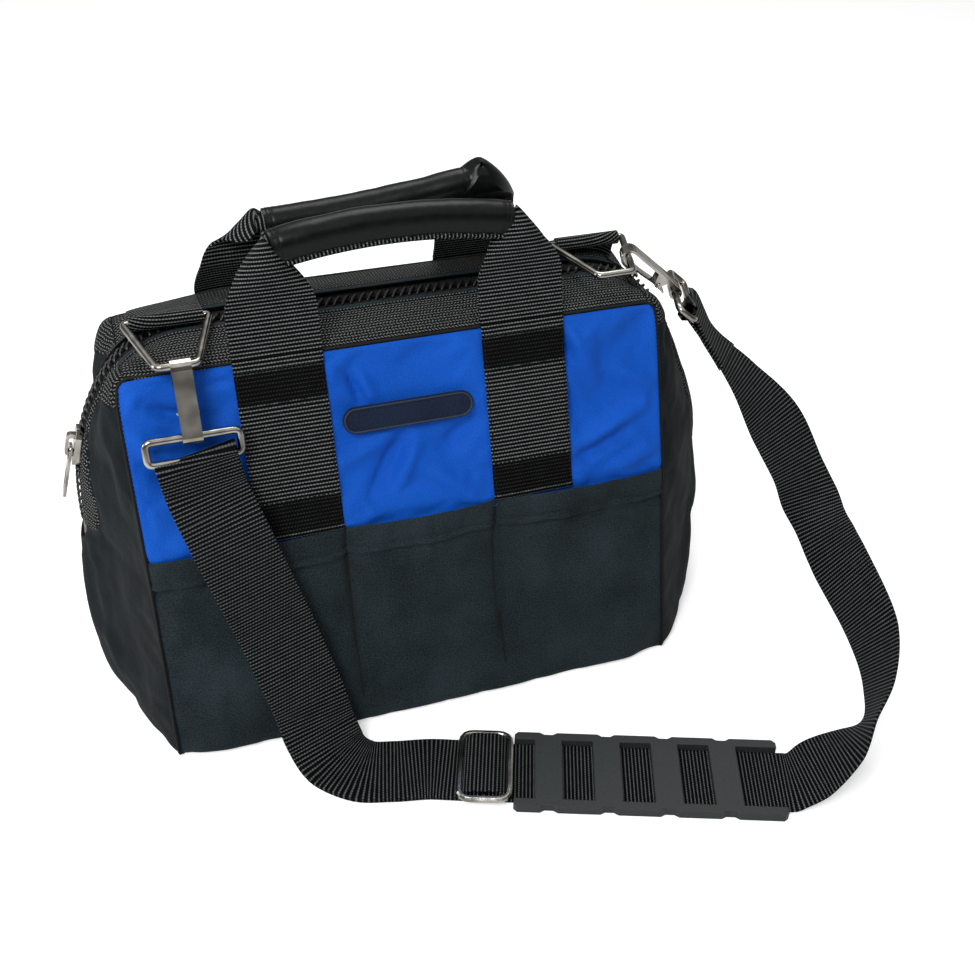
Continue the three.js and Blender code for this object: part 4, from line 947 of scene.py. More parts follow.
# Creases by side and half, in distance from the zip and height
END_FOLDS = {
    (-1, -1): [(14, 100, 40, 12, 5, 2.0), (30, 108, 62, 30, 9, -2.0), (55, 150, 38, 205, 7, 1.5),
               (66, 120, 40, 60, 8, 1.4)],
    (-1, 1): [(14, 96, 44, 10, 6, 1.6), (60, 130, 30, 60, 10, -1.6), (40, 200, 50, 140, 8, 1.2)],
    (1, -1): [(20, 100, 60, 20, 7, 1.8), (50, 60, 66, 130, 7, 1.6), (30, 40, 60, 90, 9, -1.8),
              (34, 190, 58, 140, 6, 1.2)],
    (1, 1): [(16, 96, 52, 14, 6, 1.7), (58, 120, 34, 50, 9, -1.6)],
}

for side, side_name in ((-1, "left"), (1, "right")):
    for half, part, body, node in ((-1, "end", "bag", "panel"), (1, "end_back", "fold", "back_wing")):
        surface, meshed = dress_end(side, half)
        # The end panels take the black cloth darkened with painted shade.
        piece = sheet_piece(f"{side_name}_{part}_cloth", surface, WALL_CLOTH, SHADED_END_CLOTH)
        patch_look(piece, BAND_MESH, meshed)
        attach(piece, body, "black_cloth", f"{side_name}_end_{node}")


def roof_band(half):
    """Half of the ribbed roof band, between the zip and a top seam."""
    k = np.linspace(0.15, 0.85, 3000)
    slot = SLOT_HALF_WIDTH / half_depth(strip_point(k, 0.0)[:, 2])
    rows = []
    for share in np.linspace(0, 1, 22):
        line = strip_point(k, half * lerp(slot, 1.0, share))
        inside = (np.abs(line[:, 0]) <= BAND_HALF_LENGTH) & (line[:, 2] > 176)
        rows.append(resample(line[inside], count=160))
    return np.stack(rows)


# Beside the zip a strip of plain cloth is folded over the mesh, as a share of the band's width
for half, name, body, fold_strip in ((-1, "front", "bag", 0.05), (1, "back", "back_mouth", 0.17)):
    grid = roof_band(half)
    share = np.linspace(0, 1, len(grid))[:, None]
    shape = 0.15 + 0.5 * layered_noise(grid, 40, seed=21, layers=2) * smooth(1 - share, 0, 0.15)
    shape += 0.7 * hill(share - 0.04, 0.06) - 0.8 * hill(share - 1, 0.05)
    shape -= 0.35 * hill(share - 0.16, 0.03)
    band = sheet_piece(f"{name}_roof_mesh", raised(grid, shape), BAND_CLOTH, BAND_MESH)
    rows, columns = grid.shape[:2]
    patch_look(band, BLACK_CLOTH, np.broadcast_to(share[:-1], (rows - 1, columns - 1)) < fold_strip)
    attach(band, body, "mesh_cloth", f"{name}_roof_band")


def wall_grid(side, heights, columns, offset, reach_inset=0.5):
    z = heights[:, None]
    return stacked(columns * half_length(z, reach_inset), side * (half_depth(z) - offset), z)


def spaced(*runs):
    return np.concatenate([np.linspace(*run) for run in runs])


def off_strips(x, legs):
    """How far a place on a wall lies outside the nearer of its two handle strips."""
    spacing, middle = legs
    away = (np.abs(x - (middle + hand * spacing / 2)) for hand in (-1, 1))
    return np.minimum(*away) - HANDLE_WIDTH / 2


# Heights of a wall's rows: close together round its foot and along its top seam
FOOT_ROWS = (0, FOOT_RADIUS * 6 / 7, 7)
TOP_ROWS = (206, TOP_SEAM - 0.15, 14)

# Dents and creases of the coloured front, in x and height
BLUE_FOLDS = [
    (-138, 206, -112, 196, 4, -2.0), (-146, 190, -118, 168, 6, 2.0), (-140, 176, -116, 152, 5, -2.0),
    (-30, 207, -25, 193, 3, -2.0), (-24, 207, -18, 190, 4, 1.2), (-38, 160, -8, 172, 5, 1.4),
    (-4, 168, -22, 140, 5, -2.8), (4, 166, -10, 140, 5, 1.8), (20, 160, 38, 172, 5, -1.8),
    (8, 150, 30, 133, 6, 1.6), (92, 214, 97, 196, 3, -2.2), (98, 214, 104, 192, 4, 1.6),
    (106, 206, 112, 182, 5, 1.4), (88, 188, 100, 160, 6, -1.8), (104, 150, 140, 164, 5, 2.0),
    (96, 140, 128, 150, 4, -2.0), (120, 190, 142, 176, 6, 1.6), (118, 132, 146, 138, 4, 1.4),
]
grid = wall_grid(-1, spaced((120, 205, 60), TOP_ROWS), np.linspace(-1, 1, 190), 0.0)
x, z = grid[..., 0], grid[..., 2]
shape = 2.3 * folds(x, z, BLUE_FOLDS) + 1.1 * layered_noise(grid, 48, seed=5, layers=2)
shape += 0.3 * layered_noise(grid, 13, seed=12, layers=2)
edge = np.minimum(half_length(z) - np.abs(x), TOP_SEAM - z)
shape = shape * smooth(edge, 0, 10)
off = off_strips(x, FRONT_LEGS)
sewn_down = np.abs(off + 2) < 2
shape += settle(raised(grid, shape), 3.5, 0.02, held=sewn_down) * smooth(edge, 0, 6)
shape -= 1.0 * hill(edge, 1.8)
shape = lerp(np.minimum(shape, -0.4), shape, smooth(off, -3, 4))
# The cloth stays clear of the liner below, and goes in behind the pockets
shape = np.maximum(shape, -1.4 - 6 * smooth(z, 136, 152))
shape -= 1.6 * (1 - smooth(z, 122, 131))
blue = sheet_piece("front_blue_cloth", raised(grid, shape), WALL_CLOTH, BLUE_CLOTH)
attach(blue, "bag", "blue_cloth", "front_upper_panel")

grid = wall_grid(-1, np.linspace(1, 129, 30), np.linspace(-1, 1, 60), 5.0, 2.0)
liner = sheet_piece("pocket_back_cloth", round_foot(grid), POCKET_CLOTH, BLACK_CLOTH)
attach(liner, "bag", "black_cloth", "front_lower_panel")

# Pockets
POCKET_FOLDS = [
    (-134, 104, -70, 102, 5, 0.9), (-40, 100, -20, 60, 7, -1.4), (60, 98, 136, 108, 3, 1.2),
    (120, 106, 143, 96, 4, 2.2), (118, 99, 143, 84, 5, -2.2), (126, 92, 140, 60, 6, 1.6),
    (52, 108, 62, 66, 6, -1.6), (-120, 60, -60, 30, 12, 1.2), (0, 50, 40, 30, 12, 1.2),
    (90, 60, 130, 30, 10, 1.0), (-34, 44, 30, 22, 6, -1.0), (60, 34, 120, 20, 5, -1.0),
]
HEM_DROP = 15.5
reach = float(half_length(POCKET_TOP, 0.5))
edges = [-reach, *POCKET_SEAMS, reach]
columns = np.unique(spaced(*((a, b, 72) for a, b in zip(edges, edges[1:]))))
heights = spaced(FOOT_ROWS, (FOOT_RADIUS, 100, 44), (101, POCKET_TOP, 34))
grid = wall_grid(-1, heights, columns / reach, 0.0)
x, z = grid[..., 0], grid[..., 2]
lobe = np.zeros_like(x)
for a, b in zip(edges, edges[1:]):
    share = np.clip((x - a) / (b - a), 0, 1)
    lobe = np.where((x >= a) & (x <= b), np.sin(np.pi * share) ** 0.7, lobe)
seam_away = np.minimum(*(np.abs(x - seam) for seam in POCKET_SEAMS))
end_away = half_length(z) - np.abs(x)
shape = 5.0 * lobe * (z / POCKET_TOP) ** 0.6 + 4.5 * (1 - smooth(z, 4, 70)) * smooth(end_away, 0, 30)
shape += folds(x, z, POCKET_FOLDS) * smooth(end_away, 0, 8)
shape += 0.9 * layered_noise(grid, 50, seed=31, layers=3) * smooth(end_away, 0, 18)
sewn_down = (seam_away < 1.5) & (z > 20)
shape += settle(raised(grid, shape), 2.5, 0.012, spacing=5, held=sewn_down)
# A hem whose lower edge wavers, a rim along the top, and the seams drawn in
hem = z - (POCKET_TOP - HEM_DROP + 1.6 * value_noise(stacked(x, 0, 0), 26, 4))
shape += 1.9 * hill(hem, 1.5) - 1.1 * hill(hem + 3.2, 1.8)
below_top = POCKET_TOP - z
shape += 0.9 * (1 - smooth(below_top, 11, 14)) - 0.6 * (1 - smooth(below_top, 0, 1.2))
groove = hill(seam_away, 2.6) * np.where(x < 0, 0.7, 1.0)
shape -= 4.2 * groove * smooth(z, 14, 60) * (1 - 0.85 * (1 - smooth(below_top, 1, 10)))
shape -= 1.0 * hill(end_away, 2.0)
pocket_surface = round_foot(raised(grid, shape - 0.9))
pockets = sheet_piece("pocket_cloth", pocket_surface, POCKET_CLOTH, BLACK_CLOTH)
# A black cord down each pocket seam: partly the seam's thread, partly painted shade that darkens the
# seam's groove.
parts = Parts()
rows = (heights > 16) & (heights < POCKET_TOP - 1)
for seam_x in POCKET_SEAMS:
    j = int(np.argmin(np.abs(columns - seam_x)))
    parts.add(*tube(pocket_surface[rows, j] - np.array([0, 0.1, 0]), 0.6, sides=6))
attach(parts.piece("pocket_seam_thread_and_shade", THREAD), "bag", "black_cloth")
attach(pockets, "bag", "black_cloth", "pocket_panel")

# Back wall
BACK_FOLDS = [
    (-120, 150, -60, 110, 10, -2.0), (-40, 120, 30, 90, 12, 1.8), (60, 130, 130, 80, 10, -2.0),
    (-130, 60, -40, 40, 12, 1.5), (20, 60, 110, 30, 12, -1.6), (-20, 200, 20, 170, 9, 1.4),
    (110, 200, 140, 160, 8, 1.5), (-140, 195, -110, 170, 7, -1.4),
]
grid = wall_grid(1, spaced(FOOT_ROWS, (FOOT_RADIUS, 205, 90), TOP_ROWS), np.linspace(-1, 1, 150), 0.0)
x, z = grid[..., 0], grid[..., 2]
shape = folds(x, z, BACK_FOLDS) + 0.9 * layered_noise(grid, 55, seed=41, layers=3)
edge = np.minimum(half_length(z) - np.abs(x), TOP_SEAM - z)
shape = shape * smooth(np.minimum(edge, z), 0, 16)
shape += settle(raised(grid, shape), 3.0, 0.012, spacing=6) * smooth(edge, 0, 8)
shape -= 1.0 * hill(edge, 2.2)
off = np.maximum(off_strips(x, BACK_LEGS), POCKET_TOP - z)
shape = lerp(np.minimum(shape, -0.4), shape, smooth(off, -3, 4))
back = sheet_piece("back_cloth", round_foot(raised(grid, shape)), WALL_CLOTH, BLACK_CLOTH)
attach(back, "fold", "black_cloth", "back_lower_panel", "back_upper_panel")

# Base
across = np.linspace(-1, 1, 30)
left_foot, right_foot = (strip_point(k, across) for k in (0.0, 1.0))
grid = np.stack([lerp(left_foot, right_foot, t) for t in np.linspace(0, 1, 60)], axis=1)
grid[..., 2] = 0.0
base = sheet_piece("base_cloth", round_foot(grid), -2.4, BLACK_CLOTH, middle=(0, 0, 10))
attach(base, "bag", "black_cloth", "base_panel")

# Seams: a sunk cord of thread along both edges of the strip, and stitches beside the blue cloth
HALVES = ((-1, "front", "bag"), (1, "back", "fold"))
for half, name, body in HALVES:
    line = resample(strip_point(np.linspace(0, 1, 2400), half), 2.0)
    line = round_foot(line - np.array([0, half * 0.9, 0]))
    attach(Parts().add(*tube(line, 0.7, sides=6)).piece(f"{name}_seam", THREAD), body, "black_cloth")

parts = Parts()
WALL_RISE, WALL_RUN = TOP_SEAM - POCKET_TOP, POCKET_TOP_HALF_DEPTH - TOP_HALF_DEPTH
wall_out, wall_up = unit(np.array([0, -WALL_RISE, WALL_RUN])), unit(np.array([0, WALL_RUN, WALL_RISE]))
z = np.linspace(POCKET_TOP + 4, TOP_SEAM - 5, 60)
for side in (-1, 1):
    path = stacked(side * (half_length(z) - 0.9), -half_depth(z), z)
    stitches(parts, path, wall_out, 2.4, 0.32, lift=-0.5)
attach(parts.piece("front_stitches", THREAD), "bag", None)


# Handles
def bezier(*corners, count=24):
    t = np.linspace(0, 1, count)[:, None]
    points = [np.asarray(corner, float) for corner in corners]
    while len(points) > 1:
        points = [a + (b - a) * t for a, b in zip(points, points[1:])]
    return points[0]


def grip_line(half, top, slope, arch, legs):
    """The grip's middle line in its stand, between the two folded leg tops."""
    left, right = (
        (hand * (half - lean - GRIP_INSET), top + hand * slope, 0)
        for hand, (lean, _, _) in zip((-1, 1), legs)
    )
    crown = ((left[0] + right[0]) / 2, top + arch, 0)
    return resample(bezier(left, crown, right, count=130), 1.0)


SLEEVE_RADIUS, FLANGE, GRIP_INSET = 8.9, 3.2, 4
LEG_FLAT, LEG_FOLD, LEG_ROWS = 24, 2.3, 48


def handle_leg(hand, half, height, lean, tip, blunt):
    """A flat leg that folds back round the grip's end and closes over it."""
    flat, folded = np.linspace(-0.6, LEG_FLAT, 20), np.linspace(LEG_FLAT, height + tip, LEG_ROWS)
    h = np.concatenate([flat, folded[1:]])[:, None]
    t = np.clip((h - LEG_FLAT) / (height + tip - LEG_FLAT), 0, 1)
    chord = HANDLE_WIDTH / 2 * (1 - t ** blunt) + 0.8 * t
    fold = lerp(0.05, LEG_FOLD, smooth(t, 0, 0.9))
    u = np.linspace(-1, 1, 41)[None]
    angle = u * fold
    middle = hand * (half - lean * smooth(h, 0, height))
    x = middle + chord * np.sin(angle) / np.sin(np.minimum(fold, np.pi / 2))
    hood = np.sqrt(np.clip(1 - (np.clip(h - height, 0, None) / (tip + 0.01)) ** 2, 0, 1))
    reach = SLEEVE_RADIUS + 0.9
    forward = reach * smooth(h, LEG_FLAT - 6, height - 5) * hood
    depth = 2 * reach / (1 - math.cos(LEG_FOLD)) * hood
    z = forward - depth * (1 - np.cos(angle)) + WEBBING / 2
    y = h - 2.0 * t * (1 - np.cos(angle))
    return stacked(x, y, z), stacked(u * HANDLE_WIDTH / 2, h)


def stand_frame(side, lean, middle):
    """Where a handle stands: x along the bag, y up along the legs, z outward."""
    slope = math.atan2(POCKET_TOP_HALF_DEPTH - TOP_HALF_DEPTH, TOP_SEAM - POCKET_TOP)
    tilt = math.radians(lean)
    rise, lift = 0.9 + WEBBING / 2, 0.3 + WEBBING / 2
    outward = np.array([0, side * math.cos(slope), math.sin(slope)])
    upward = np.array([0, -side * math.sin(slope), math.cos(slope)])
    origin = np.array([0, side * TOP_HALF_DEPTH, TOP_SEAM]) + upward * rise + outward * lift
    origin[0] = middle
    x_axis = np.array([-side, 0, 0])
    y_axis = np.array([0, -side * math.sin(tilt), math.cos(tilt)])
    return origin, np.stack([x_axis, y_axis, np.cross(x_axis, y_axis)])


def placed(points, placing):
    origin, axes = placing
    return origin + np.asarray(points) @ axes


# Direction of the webbing's sewn edges below a grip, and the two hoops of thread round its ends
BELOW = math.radians(-62)
HOOPS = (1.6, 4.2)


def dress_grip(name, placing, curve):
    """A glossy sleeve over the rolled webbing, whose two sewn edges show below it."""
    length = len(curve) - 1
    axes = placing[1]
    run = unit(np.gradient(curve, axis=0))
    out = stacked(-run[:, 1], run[:, 0], 0)
    forward = np.array([0, 0, 1.0])
    turn = circle(48)[None]
    share = np.linspace(0, 1, len(curve))[:, None]
    wander = stacked(share * 120, 10 * np.sin(turn), 10 * np.cos(turn))
    sag = 0.35 * layered_noise(wander, 14, seed=61, layers=2) * np.sin(np.pi * share) ** 0.3
    to_end = np.minimum(share, 1 - share) * length
    sag = sag - 0.45 * hill(to_end - HOOPS[0], 0.7) - 0.35 * hill(to_end - HOOPS[1], 0.7)
    toward = np.angle(np.exp(1j * (turn - BELOW)))
    radius = SLEEVE_RADIUS + sag + 1.6 * hill(toward, 0.35)
    spoke = (np.sin(turn) * radius)[..., None] * out[:, None]
    spoke = spoke + (np.cos(turn) * radius)[..., None] * forward
    both = curve[:, None] + spoke, (curve[:, None] + spoke * 0.88)[::-1]
    rows, columns = 2 * len(curve), turn.size
    sleeve = Parts().add(placed(np.concatenate(both), placing), quads(rows, columns, True, True))
    sleeve = sleeve.piece(f"{name}_grip_sleeve", GRIP)
    down = math.sin(BELOW) * out + math.cos(BELOW) * forward
    face = unit(np.cross(run, down))
    start, end = SLEEVE_RADIUS - 1.5, SLEEVE_RADIUS + FLANGE
    middle = placed(curve + down * ((start + end) / 2), placing)
    flange, thread = Parts(), Parts()
    ribbon(flange, middle, down @ axes, face @ axes, end - start, 2 * WEBBING)
    flange = flange.piece(f"{name}_grip_flange", HANDLE_WEBBING)
    for way in (-1, 1):
        line = curve + down * (end - 1.6) + face * way * WEBBING
        stitches(thread, placed(line, placing), way * face @ axes, 3.0, 0.3, lift=0.05)
    angles = np.linspace(BELOW + 0.5, BELOW + 2 * np.pi - 0.5, 60)[:, None]
    for at in HOOPS:
        for k in (round(at), length - round(at)):
            spoke = np.sin(angles) * out[k] + np.cos(angles) * forward
            hoop = curve[k] + (SLEEVE_RADIUS - 0.1) * spoke
            stitches(thread, placed(hoop, placing), spoke @ axes, 2.6, 0.25)
    thread = thread.piece(f"{name}_grip_stitches", THREAD)
    attach(sleeve, f"{name}_handle", "grip", f"{name}_handle_grip")
    attach(flange, f"{name}_handle", "webbing")
    attach(thread, f"{name}_handle", None)


# The back grip's sleeve opens out over the folded top of a leg, from this height on
LEATHER_FROM = 34


def leather_end(name, grid, h, placing):
    surface = placed(grid[h > LEATHER_FROM], placing)
    middle = surface.mean(axis=(0, 1))
    surface = surface + unit(surface - middle) * 0.9
    closing = lerp(surface[:, :1], surface[:, -1:], np.linspace(0, 1, 16)[None, :, None])
    parts = Parts()
    for sheet in (surface, closing):
        parts.add(*cloth_sheet(sheet, 0.8, None, middle))
    attach(parts.piece(f"{name}_grip_end", GRIP), f"{name}_handle", "grip")


# Each leg: how far its top leans inward, how far it stands over the grip's middle, how blunt it is
FRONT_SHAPE = dict(top=56, slope=0, arch=12, legs=((0, 6.5, 1.6), (0, 6.5, 1.6)))
BACK_SHAPE = dict(top=57, slope=-8, arch=-6, legs=((5, 13, 3.5), (12, 7, 1.6)))
for name, side, lean, (spacing, middle), shape in (
    ("front", -1, 14, FRONT_LEGS, FRONT_SHAPE), ("back", 1, 27, BACK_LEGS, BACK_SHAPE),
):
    placing = stand_frame(side, lean, middle)
    line = grip_line(spacing / 2, **shape)
    parts = Parts().add(*tube(placed(line, placing), SLEEVE_RADIUS - 1.4, sides=24))
    inside = placed((0, 0, -60), placing)
    for hand, leg in zip((-1, 1), shape["legs"]):
        grid, uv = handle_leg(hand, spacing / 2, shape["top"] + hand * shape["slope"], *leg)
        if name == "back" and hand < 0:
            leather_end(name, grid, uv[:, 0, 1], placing)
        parts.add(*cloth_sheet(placed(grid, placing), WEBBING, uv, inside))
    webbing = parts.piece(f"{name}_handle_tape", HANDLE_WEBBING)
    attach(webbing, f"{name}_handle", "webbing", f"{name}_handle_webbing")
    dress_grip(name, placing, line)


# Sewn handle strips, with dense stitched bands
STRIP_TOP, STRIP_FOOT = TOP_SEAM + 0.5, 125.2
STRIP_ROWS, STRIP_EDGE = (216.5, 196.0, 146.0), 22.6


def sewn_strip(name, side, x_middle, body, *nodes):
    z = np.linspace(STRIP_TOP, STRIP_FOOT, 110)[:, None]
    a = np.linspace(-HANDLE_WIDTH / 2, HANDLE_WIDTH / 2, 33)[None]
    grid = stacked(x_middle + a, side * half_depth(z), z)
    outward = wall_out * np.array([1, -side, 1])
    dense = sum(
        smooth(-z, low, low + RAGGED) * (1 - smooth(-z, high, high + RAGGED))
        for low, high in STRIP_MATTED
    )
    lift = 0.3 + WEBBING - 0.7 * dense + 0.35 * layered_noise(grid, 24, seed=51, layers=2)
    lift = lift - 0.6 * hill(HANDLE_WIDTH / 2 - np.abs(a), 1.2)
    strip = sheet_piece(name, grid + outward * lift[..., None], WEBBING, STRIP_WEBBING, stacked(a, -z))
    parts = Parts()
    for height in STRIP_ROWS:
        path = stacked(x_middle + np.linspace(-22.5, 22.5, 40), side * half_depth(height), height)
        stitches(parts, path + outward * 1.9, outward, 2.6, 0.3)
    z = z[4:-2, 0]
    for edge in (-STRIP_EDGE, STRIP_EDGE):
        path = stacked(x_middle + edge, side * half_depth(z), z)
        stitches(parts, path + outward * 1.7, outward, 3.0, 0.25)
    attach(strip, body, "webbing", *nodes)
    attach(parts.piece(f"{name}_stitches", THREAD), body, "webbing")


for hand, hand_name in ((-1, "left"), (1, "right")):
    for side, name, (spacing, middle), body, ends in (
        (-1, "front", FRONT_LEGS, "bag", ("",)), (1, "back", BACK_LEGS, "fold", ("", "_foot")),
    ):
        nodes = [f"{name}_handle_strip_{hand_name}{end}" for end in ends]
        sewn_strip(f"{name}_strip_{hand_name}", side, middle + hand * spacing / 2, body, *nodes)


# Label patch: a bare pill with a raised rim, and a lighter navy cord round it that paints the rim's
# highlight
LABEL_LENGTH, LABEL_WIDTH, LABEL_Z = 74, 15, 182.5
# The patch in section, in distance in from its outline and height above the cloth
LABEL_PROFILE = (
    (0.0, 0.2), (-0.15, 1.0), (0.1, 1.8), (0.6, 2.2), (1.2, 2.15), (1.6, 1.7), (2.2, 1.55),
    (4.5, 1.7), (6.6, 1.75), (7.3, 1.75),
)


def pill(inset, height):
    """A ring of points round the patch, and the same in its own flat coordinates."""
    radius = LABEL_WIDTH / 2 - inset
    straight = (LABEL_LENGTH - LABEL_WIDTH) / 2
    turn = np.radians(np.linspace(-90, 90, 20))
    cap = np.stack([straight + radius * np.cos(turn), radius * np.sin(turn)], axis=1)
    side = stacked(np.linspace(straight, -straight, 30)[1:-1], radius)
    flat = np.concatenate([cap, side, -cap, -side])
    middle = np.array([0, -float(half_depth(LABEL_Z)), LABEL_Z])
    ahead = np.array([1, 0, 0])
    return middle + flat[:, :1] * ahead + flat[:, 1:] * wall_up + height * wall_out, flat


rings = [pill(inset, height) for inset, height in LABEL_PROFILE]
points, uv = (np.array([ring[k] for ring in rings]) for k in (0, 1))
label = Parts().add(points, capped(*points.shape[:2]), uv).piece("label_pill", NAVY)
attach(label, "bag", "label", "label_patch")
rim = Parts().add(*tube(pill(1.0, 2.0)[0], 0.5, closed=True, up=wall_out))
attach(rim.piece("label_rim", RIM_HIGHLIGHT), "bag", "label")


# Zip: tapes and rows of teeth that mesh over the roof
TAPE_DEPTH = 2.3
TOOTH_PITCH = 4.8
TAPE_FOOT = 94
TAPE_FOOT_K = 0.5 * TAPE_FOOT / ZIP_FOOT * END_SHARE
# Distance from the zip's middle and height of the tape's surface
TAPE_PROFILE = (
    (1.2, -0.2), (2.5, -0.1), (4.0, 0.15), (5.0, 0.1), (6.5, 0), (9.0, 0), (11.5, -0.4), (14.0, -0.6),
)
# A tooth from its root inward: distance from the middle, half width and height
TOOTH_RINGS = ((4.4, 0.6, 0.0), (4.0, 0.75, 1.1), (2.6, 0.8, 1.9), (0.8, 0.9, 2.1))


def zip_tape(half):
    k = np.linspace(TAPE_FOOT_K, 1 - TAPE_FOOT_K, 500)
    return np.stack([
        sunk(k, half * y, TAPE_DEPTH - rise) for y, rise in TAPE_PROFILE
    ], axis=1)


def tooth_rows(half):
    """Every second tooth of the chain, as a closed tube of eight-sided rings."""
    k = np.linspace(TAPE_FOOT_K, 1 - TAPE_FOOT_K, 2400)
    line = sunk(k, 0.0, TAPE_DEPTH)
    line = resample(line[line[:, 2] > ZIP_FOOT], TOOTH_PITCH / 2)
    run = unit(np.gradient(line, axis=0))
    turn = circle(8)[:, None]
    parts = Parts()
    for i in range(1 if half > 0 else 2, len(line) - 1, 2):
        along = run[i]
        outward = np.array([-along[2], 0, along[0]])
        reach = lerp(1.0, -0.2, float(smooth(abs(along[2]), 0.25, 0.5)))
        rings = []
        for out, wide, lift in (*TOOTH_RINGS, (-reach, 0.95, 1.8), (-reach - 0.4, 0.6, 0.8)):
            slant = 0.55 * (out - 2) * half
            centre = line[i] + np.array([0, half * out, 0]) + outward * lift + along * slant
            rings.append(centre + along * wide * np.cos(turn) + outward * 0.7 * np.sin(turn))
        parts.add(rings, capped(len(rings), len(turn)))
    return parts


for half, name, body in HALVES:
    feet = [f"{name}_zip_tape_{end}_foot" for end in ("left", "right")] if half > 0 else []
    tape = sheet_piece(f"{name}_tape_cloth", zip_tape(half), 0.9, TAPE)
    attach(tape, body, "zip", f"{name}_zip_tape", *feet)
    attach(tooth_rows(half).piece(f"{name}_teeth", TEETH), body, "zip")


# Rings, their webbing tabs and the strap loops
def rounded(corners, radius, steps=8):
    corners = np.asarray(corners, float)
    points = []
    for i, corner in enumerate(corners):
        before, after = corners[i - 1], corners[(i + 1) % len(corners)]
        a = corner + unit(before - corner) * radius
        b = corner + unit(after - corner) * radius
        t = np.linspace(0, 1, steps)[:, None]
        points.append((1 - t) ** 2 * a + 2 * t * (1 - t) * corner + t ** 2 * b)
    return np.concatenate(points)


def bent_wire(name, body, node, start, x_axis, y_axis, corners, radius):
    flat = rounded(corners, radius)
    line = start + flat[:, :1] * x_axis + flat[:, 1:] * y_axis
    wire = Parts().add(*tube(line, WIRE, sides=18, closed=True, up=np.cross(x_axis, y_axis)))
    attach(wire.piece(name, NICKEL), body, "nickel", node)


def ring_tab(name, start, tail, wrap):
    """Webbing that lies on the roof, comes up and turns round the ring's base."""
    x = start[0] + np.linspace(-0.5, 0.5, 27) * TAB_WIDTH
    k = np.linspace(0.15, 0.85, 3000)
    outer, inner = [], []
    for y in tail + 20 * (1 - np.linspace(0, 1, 12)):
        row = tape_point(np.interp(x, tape_point(k, y)[:, 0], k), y)
        row[:, 0] = x
        outer.append(row + np.array([0, 0, 3.9]))
        inner.append(row + np.array([0, 0, 0.9]))
    for turn in np.radians(np.linspace(wrap, -150, 34)):
        for rows, radius in ((outer, WIRE + 0.3 + WEBBING), (inner, WIRE + 0.3)):
            y, z = start[1] - radius * math.cos(turn), start[2] + radius * math.sin(turn)
            rows.append(stacked(x, y, z))
    outer, inner = np.array(outer), np.array(inner)
    tab = Parts().add(*closed_sheet(outer, inner, grid_uv(outer)))
    attach(tab.piece(f"{name}_tab_tape", HANDLE_WEBBING), "back_mouth", "webbing", f"{name}_ring_tab")


RING_BASE, RING_NOSE, RING_REACH = 45.5, 21, 45.5
TAB_WIDTH = 39
RING_CORNERS = (
    (-RING_BASE / 2, 0), (-RING_NOSE / 2, RING_REACH), (RING_NOSE / 2, RING_REACH), (RING_BASE / 2, 0),
)
LOOP_CORNERS = [(x * LOOP_LENGTH / 2, z * LOOP_HEIGHT) for x, z in ((-1, 0), (-1, -1), (1, -1), (1, 0))]
# The middle of each ring's base, how far its nose hangs below it, and how its tab lies
for name, start, drop, tail, wrap in (
    ("left", (-118.5, -6, 232.5), 3, 9.5, 115), ("right", (130, 14, 236), 0, 22, 150),
):
    lean = math.asin(drop / RING_REACH)
    forward = np.array([0, -math.cos(lean), -math.sin(lean)])
    bent_wire(
        f"{name}_wire_ring", f"{name}_ring", f"{name}_ring", np.array(start), np.array([1, 0, 0]),
        forward, RING_CORNERS, 3,
    )
    ring_tab(name, start, tail, wrap)

for name, loop in (("left", LEFT_LOOP), ("right", RIGHT_LOOP)):
    bent_wire(f"{name}_wire_loop", f"{name}_loop", f"{name}_strap_loop", *loop, LOOP_CORNERS, 3.5)


# Carried-over metal and rubber: softened edges and finished materials
def finish(piece, look, bevel, segments=2):
    piece.data.materials.clear()
    piece.data.materials.append(look)
    weld = piece.modifiers.new("weld", "WELD")
    weld.merge_threshold = 1e-6
    soft = piece.modifiers.new("soft edges", "BEVEL")
    soft.width = bevel * 0.001
    soft.segments = segments
    soft.limit_method = "ANGLE"
    soft.angle_limit = math.radians(35)
    soft.harden_normals = True


def slimmer(name, body, loop):
    """A hook part of its frame's shape, narrower along the strap loop's bar."""
    piece = add_object(f"{name}_metal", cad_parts[name].data.copy())
    points = mesh_points(piece.data)
    along = (points - metres(loop[0])) @ loop[1]
    points = points - (along * (1 - HOOK_SHARE))[:, None] * loop[1]
    piece.data.vertices.foreach_set("co", points.ravel())
    piece.data.update()
    finish(piece, NICKEL, 0.3)
    attach(piece, body, "nickel", name)


HOOK_SHARE = 0.8
for side, loop in (("left", LEFT_LOOP), ("right", RIGHT_LOOP)):
    for part, body in (("hook", "hook"), ("hook_pin", "hook"), ("hook_gate", "gate")):
        slimmer(f"{side}_{part}", f"{side}_{body}", loop)
for name in ("zip_slider", "zip_pull", "slide_buckle", "left_zip_stop", "right_zip_stop"):
    finish(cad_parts[name], NICKEL, 0.3)
finish(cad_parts["shoulder_pad"], RUBBER, 0.6, 3)
finish(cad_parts["base_board"], BOARD, 0.5)

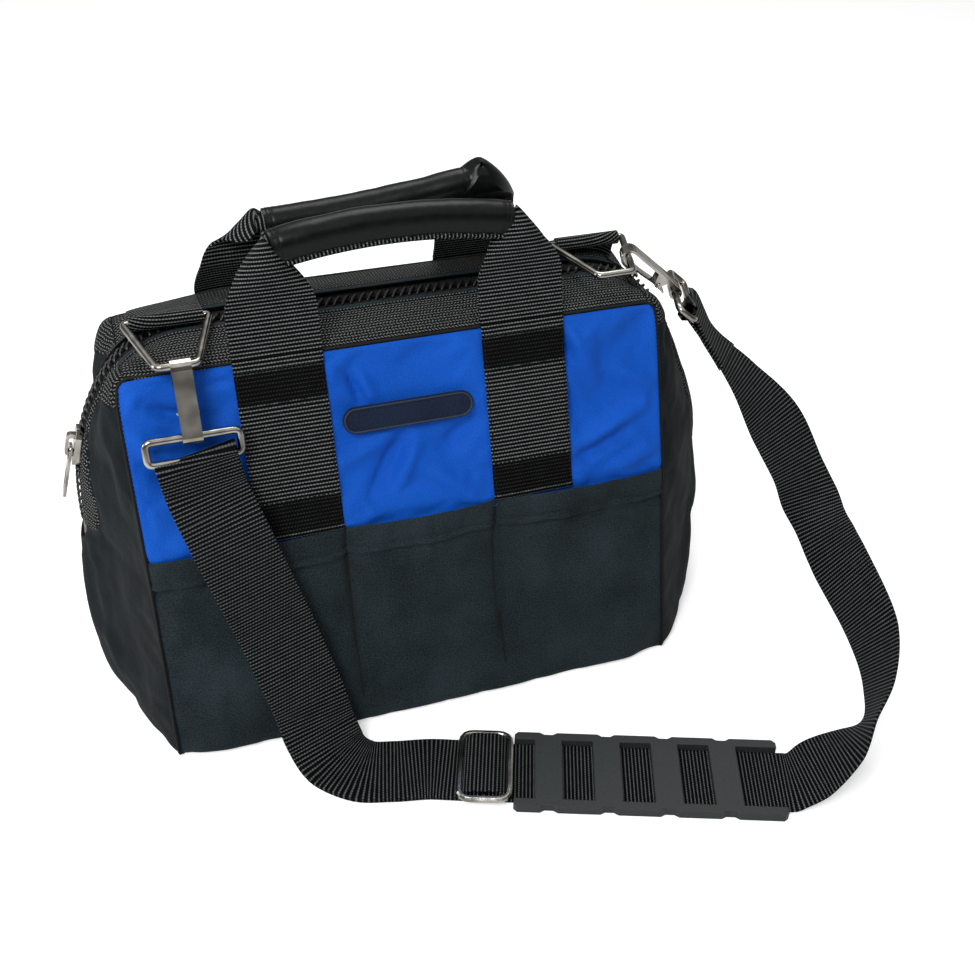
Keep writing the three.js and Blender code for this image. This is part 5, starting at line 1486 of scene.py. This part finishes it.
# The webbing's hump over the buckle's bars
HUMP_REACH, HUMP_FLAT, HUMP_TOP, HUMP_DROP = 15.5, 5, 10.4, 5.4
s = np.linspace(-HUMP_REACH, HUMP_REACH, 60)
rise = HUMP_TOP - WEBBING / 2 - HUMP_DROP * smooth(np.abs(s), HUMP_FLAT, HUMP_REACH) ** 1.2
point = FLOOR_START + FLOOR_RUN * s[:, None] + np.array([0, 0, 1]) * rise[:, None]
across = np.broadcast_to(FLOOR_ACROSS, point.shape)
parts = Parts()
ribbon(parts, point, across, np.cross(unit(np.gradient(point, axis=0)), across), STRAP_WIDTH)
hump = parts.piece("buckle_webbing", STRAP_WEBBING)
attach(hump, "slide_buckle", "webbing", "strap_buckle_turn")


# Floor, light and background
WORLD_LEVEL, FLOOR_GLOW, FLOOR_SIZE, FLOOR_DROP = 0.45, 0.42, 6000, 0.05
WHITE = (1, 1, 1, 1)
# What metal mirrors, by height
SKY = ((0.0, 0.42), (0.25, 0.16), (0.45, 0.10), (0.62, 0.75), (1.0, 0.95))
# Lamps: place, what they point at, size and power
LAMPS = {
    "key": ((-700, -900, 1300), (0, -40, 100), 600, 18),
    "side": ((-1300, 100, 600), (-60, 0, 120), 500, 5),
    "top": ((300, 600, 1500), (0, 0, 100), 800, 9),
}


def make_stage():
    sides = (-1, -1), (1, -1), (1, 1), (-1, 1)
    corners = [(x * FLOOR_SIZE, y * FLOOR_SIZE, -FLOOR_DROP) for x, y in sides]
    floor = add_mesh("floor", corners, [[0, 1, 2, 3]])
    look = Look("floor", Roughness=0.9, Base_Color=(0.86, 0.86, 0.86, 1), Emission_Color=WHITE)
    seen = look.add("LightPath", output="Is Camera Ray")
    look.set(Emission_Strength=look.times(seen, FLOOR_GLOW))
    floor.data.materials.append(look.owner)
    world = Look("studio", world=True, Strength=1.0)
    height = world.axis(world.place("Generated"), "Z")
    sky = world.ramp(height, [(at, grey(level, (1, 1, 0.97))) for at, level in SKY])
    glossy = world.add("LightPath", output="Is Glossy Ray")
    light = world.mix(glossy, (*grey(WORLD_LEVEL), 1), sky)
    world.set(Color=world.mix(world.add("LightPath", output="Is Camera Ray"), light, WHITE))
    bpy.context.scene.world = world.owner
    for name, (place, target, size, power) in LAMPS.items():
        lamp = bpy.data.lights.new(name, "AREA")
        lamp.size = size * 0.001
        lamp.energy = power
        holder = add_object(name, lamp)
        holder.location = metres(place)
        aim = Vector(metres(target)) - Vector(metres(place))
        holder.rotation_euler = aim.to_track_quat("-Z", "Y").to_euler()


make_stage()
bpy.context.scene.view_settings.view_transform = "Standard"
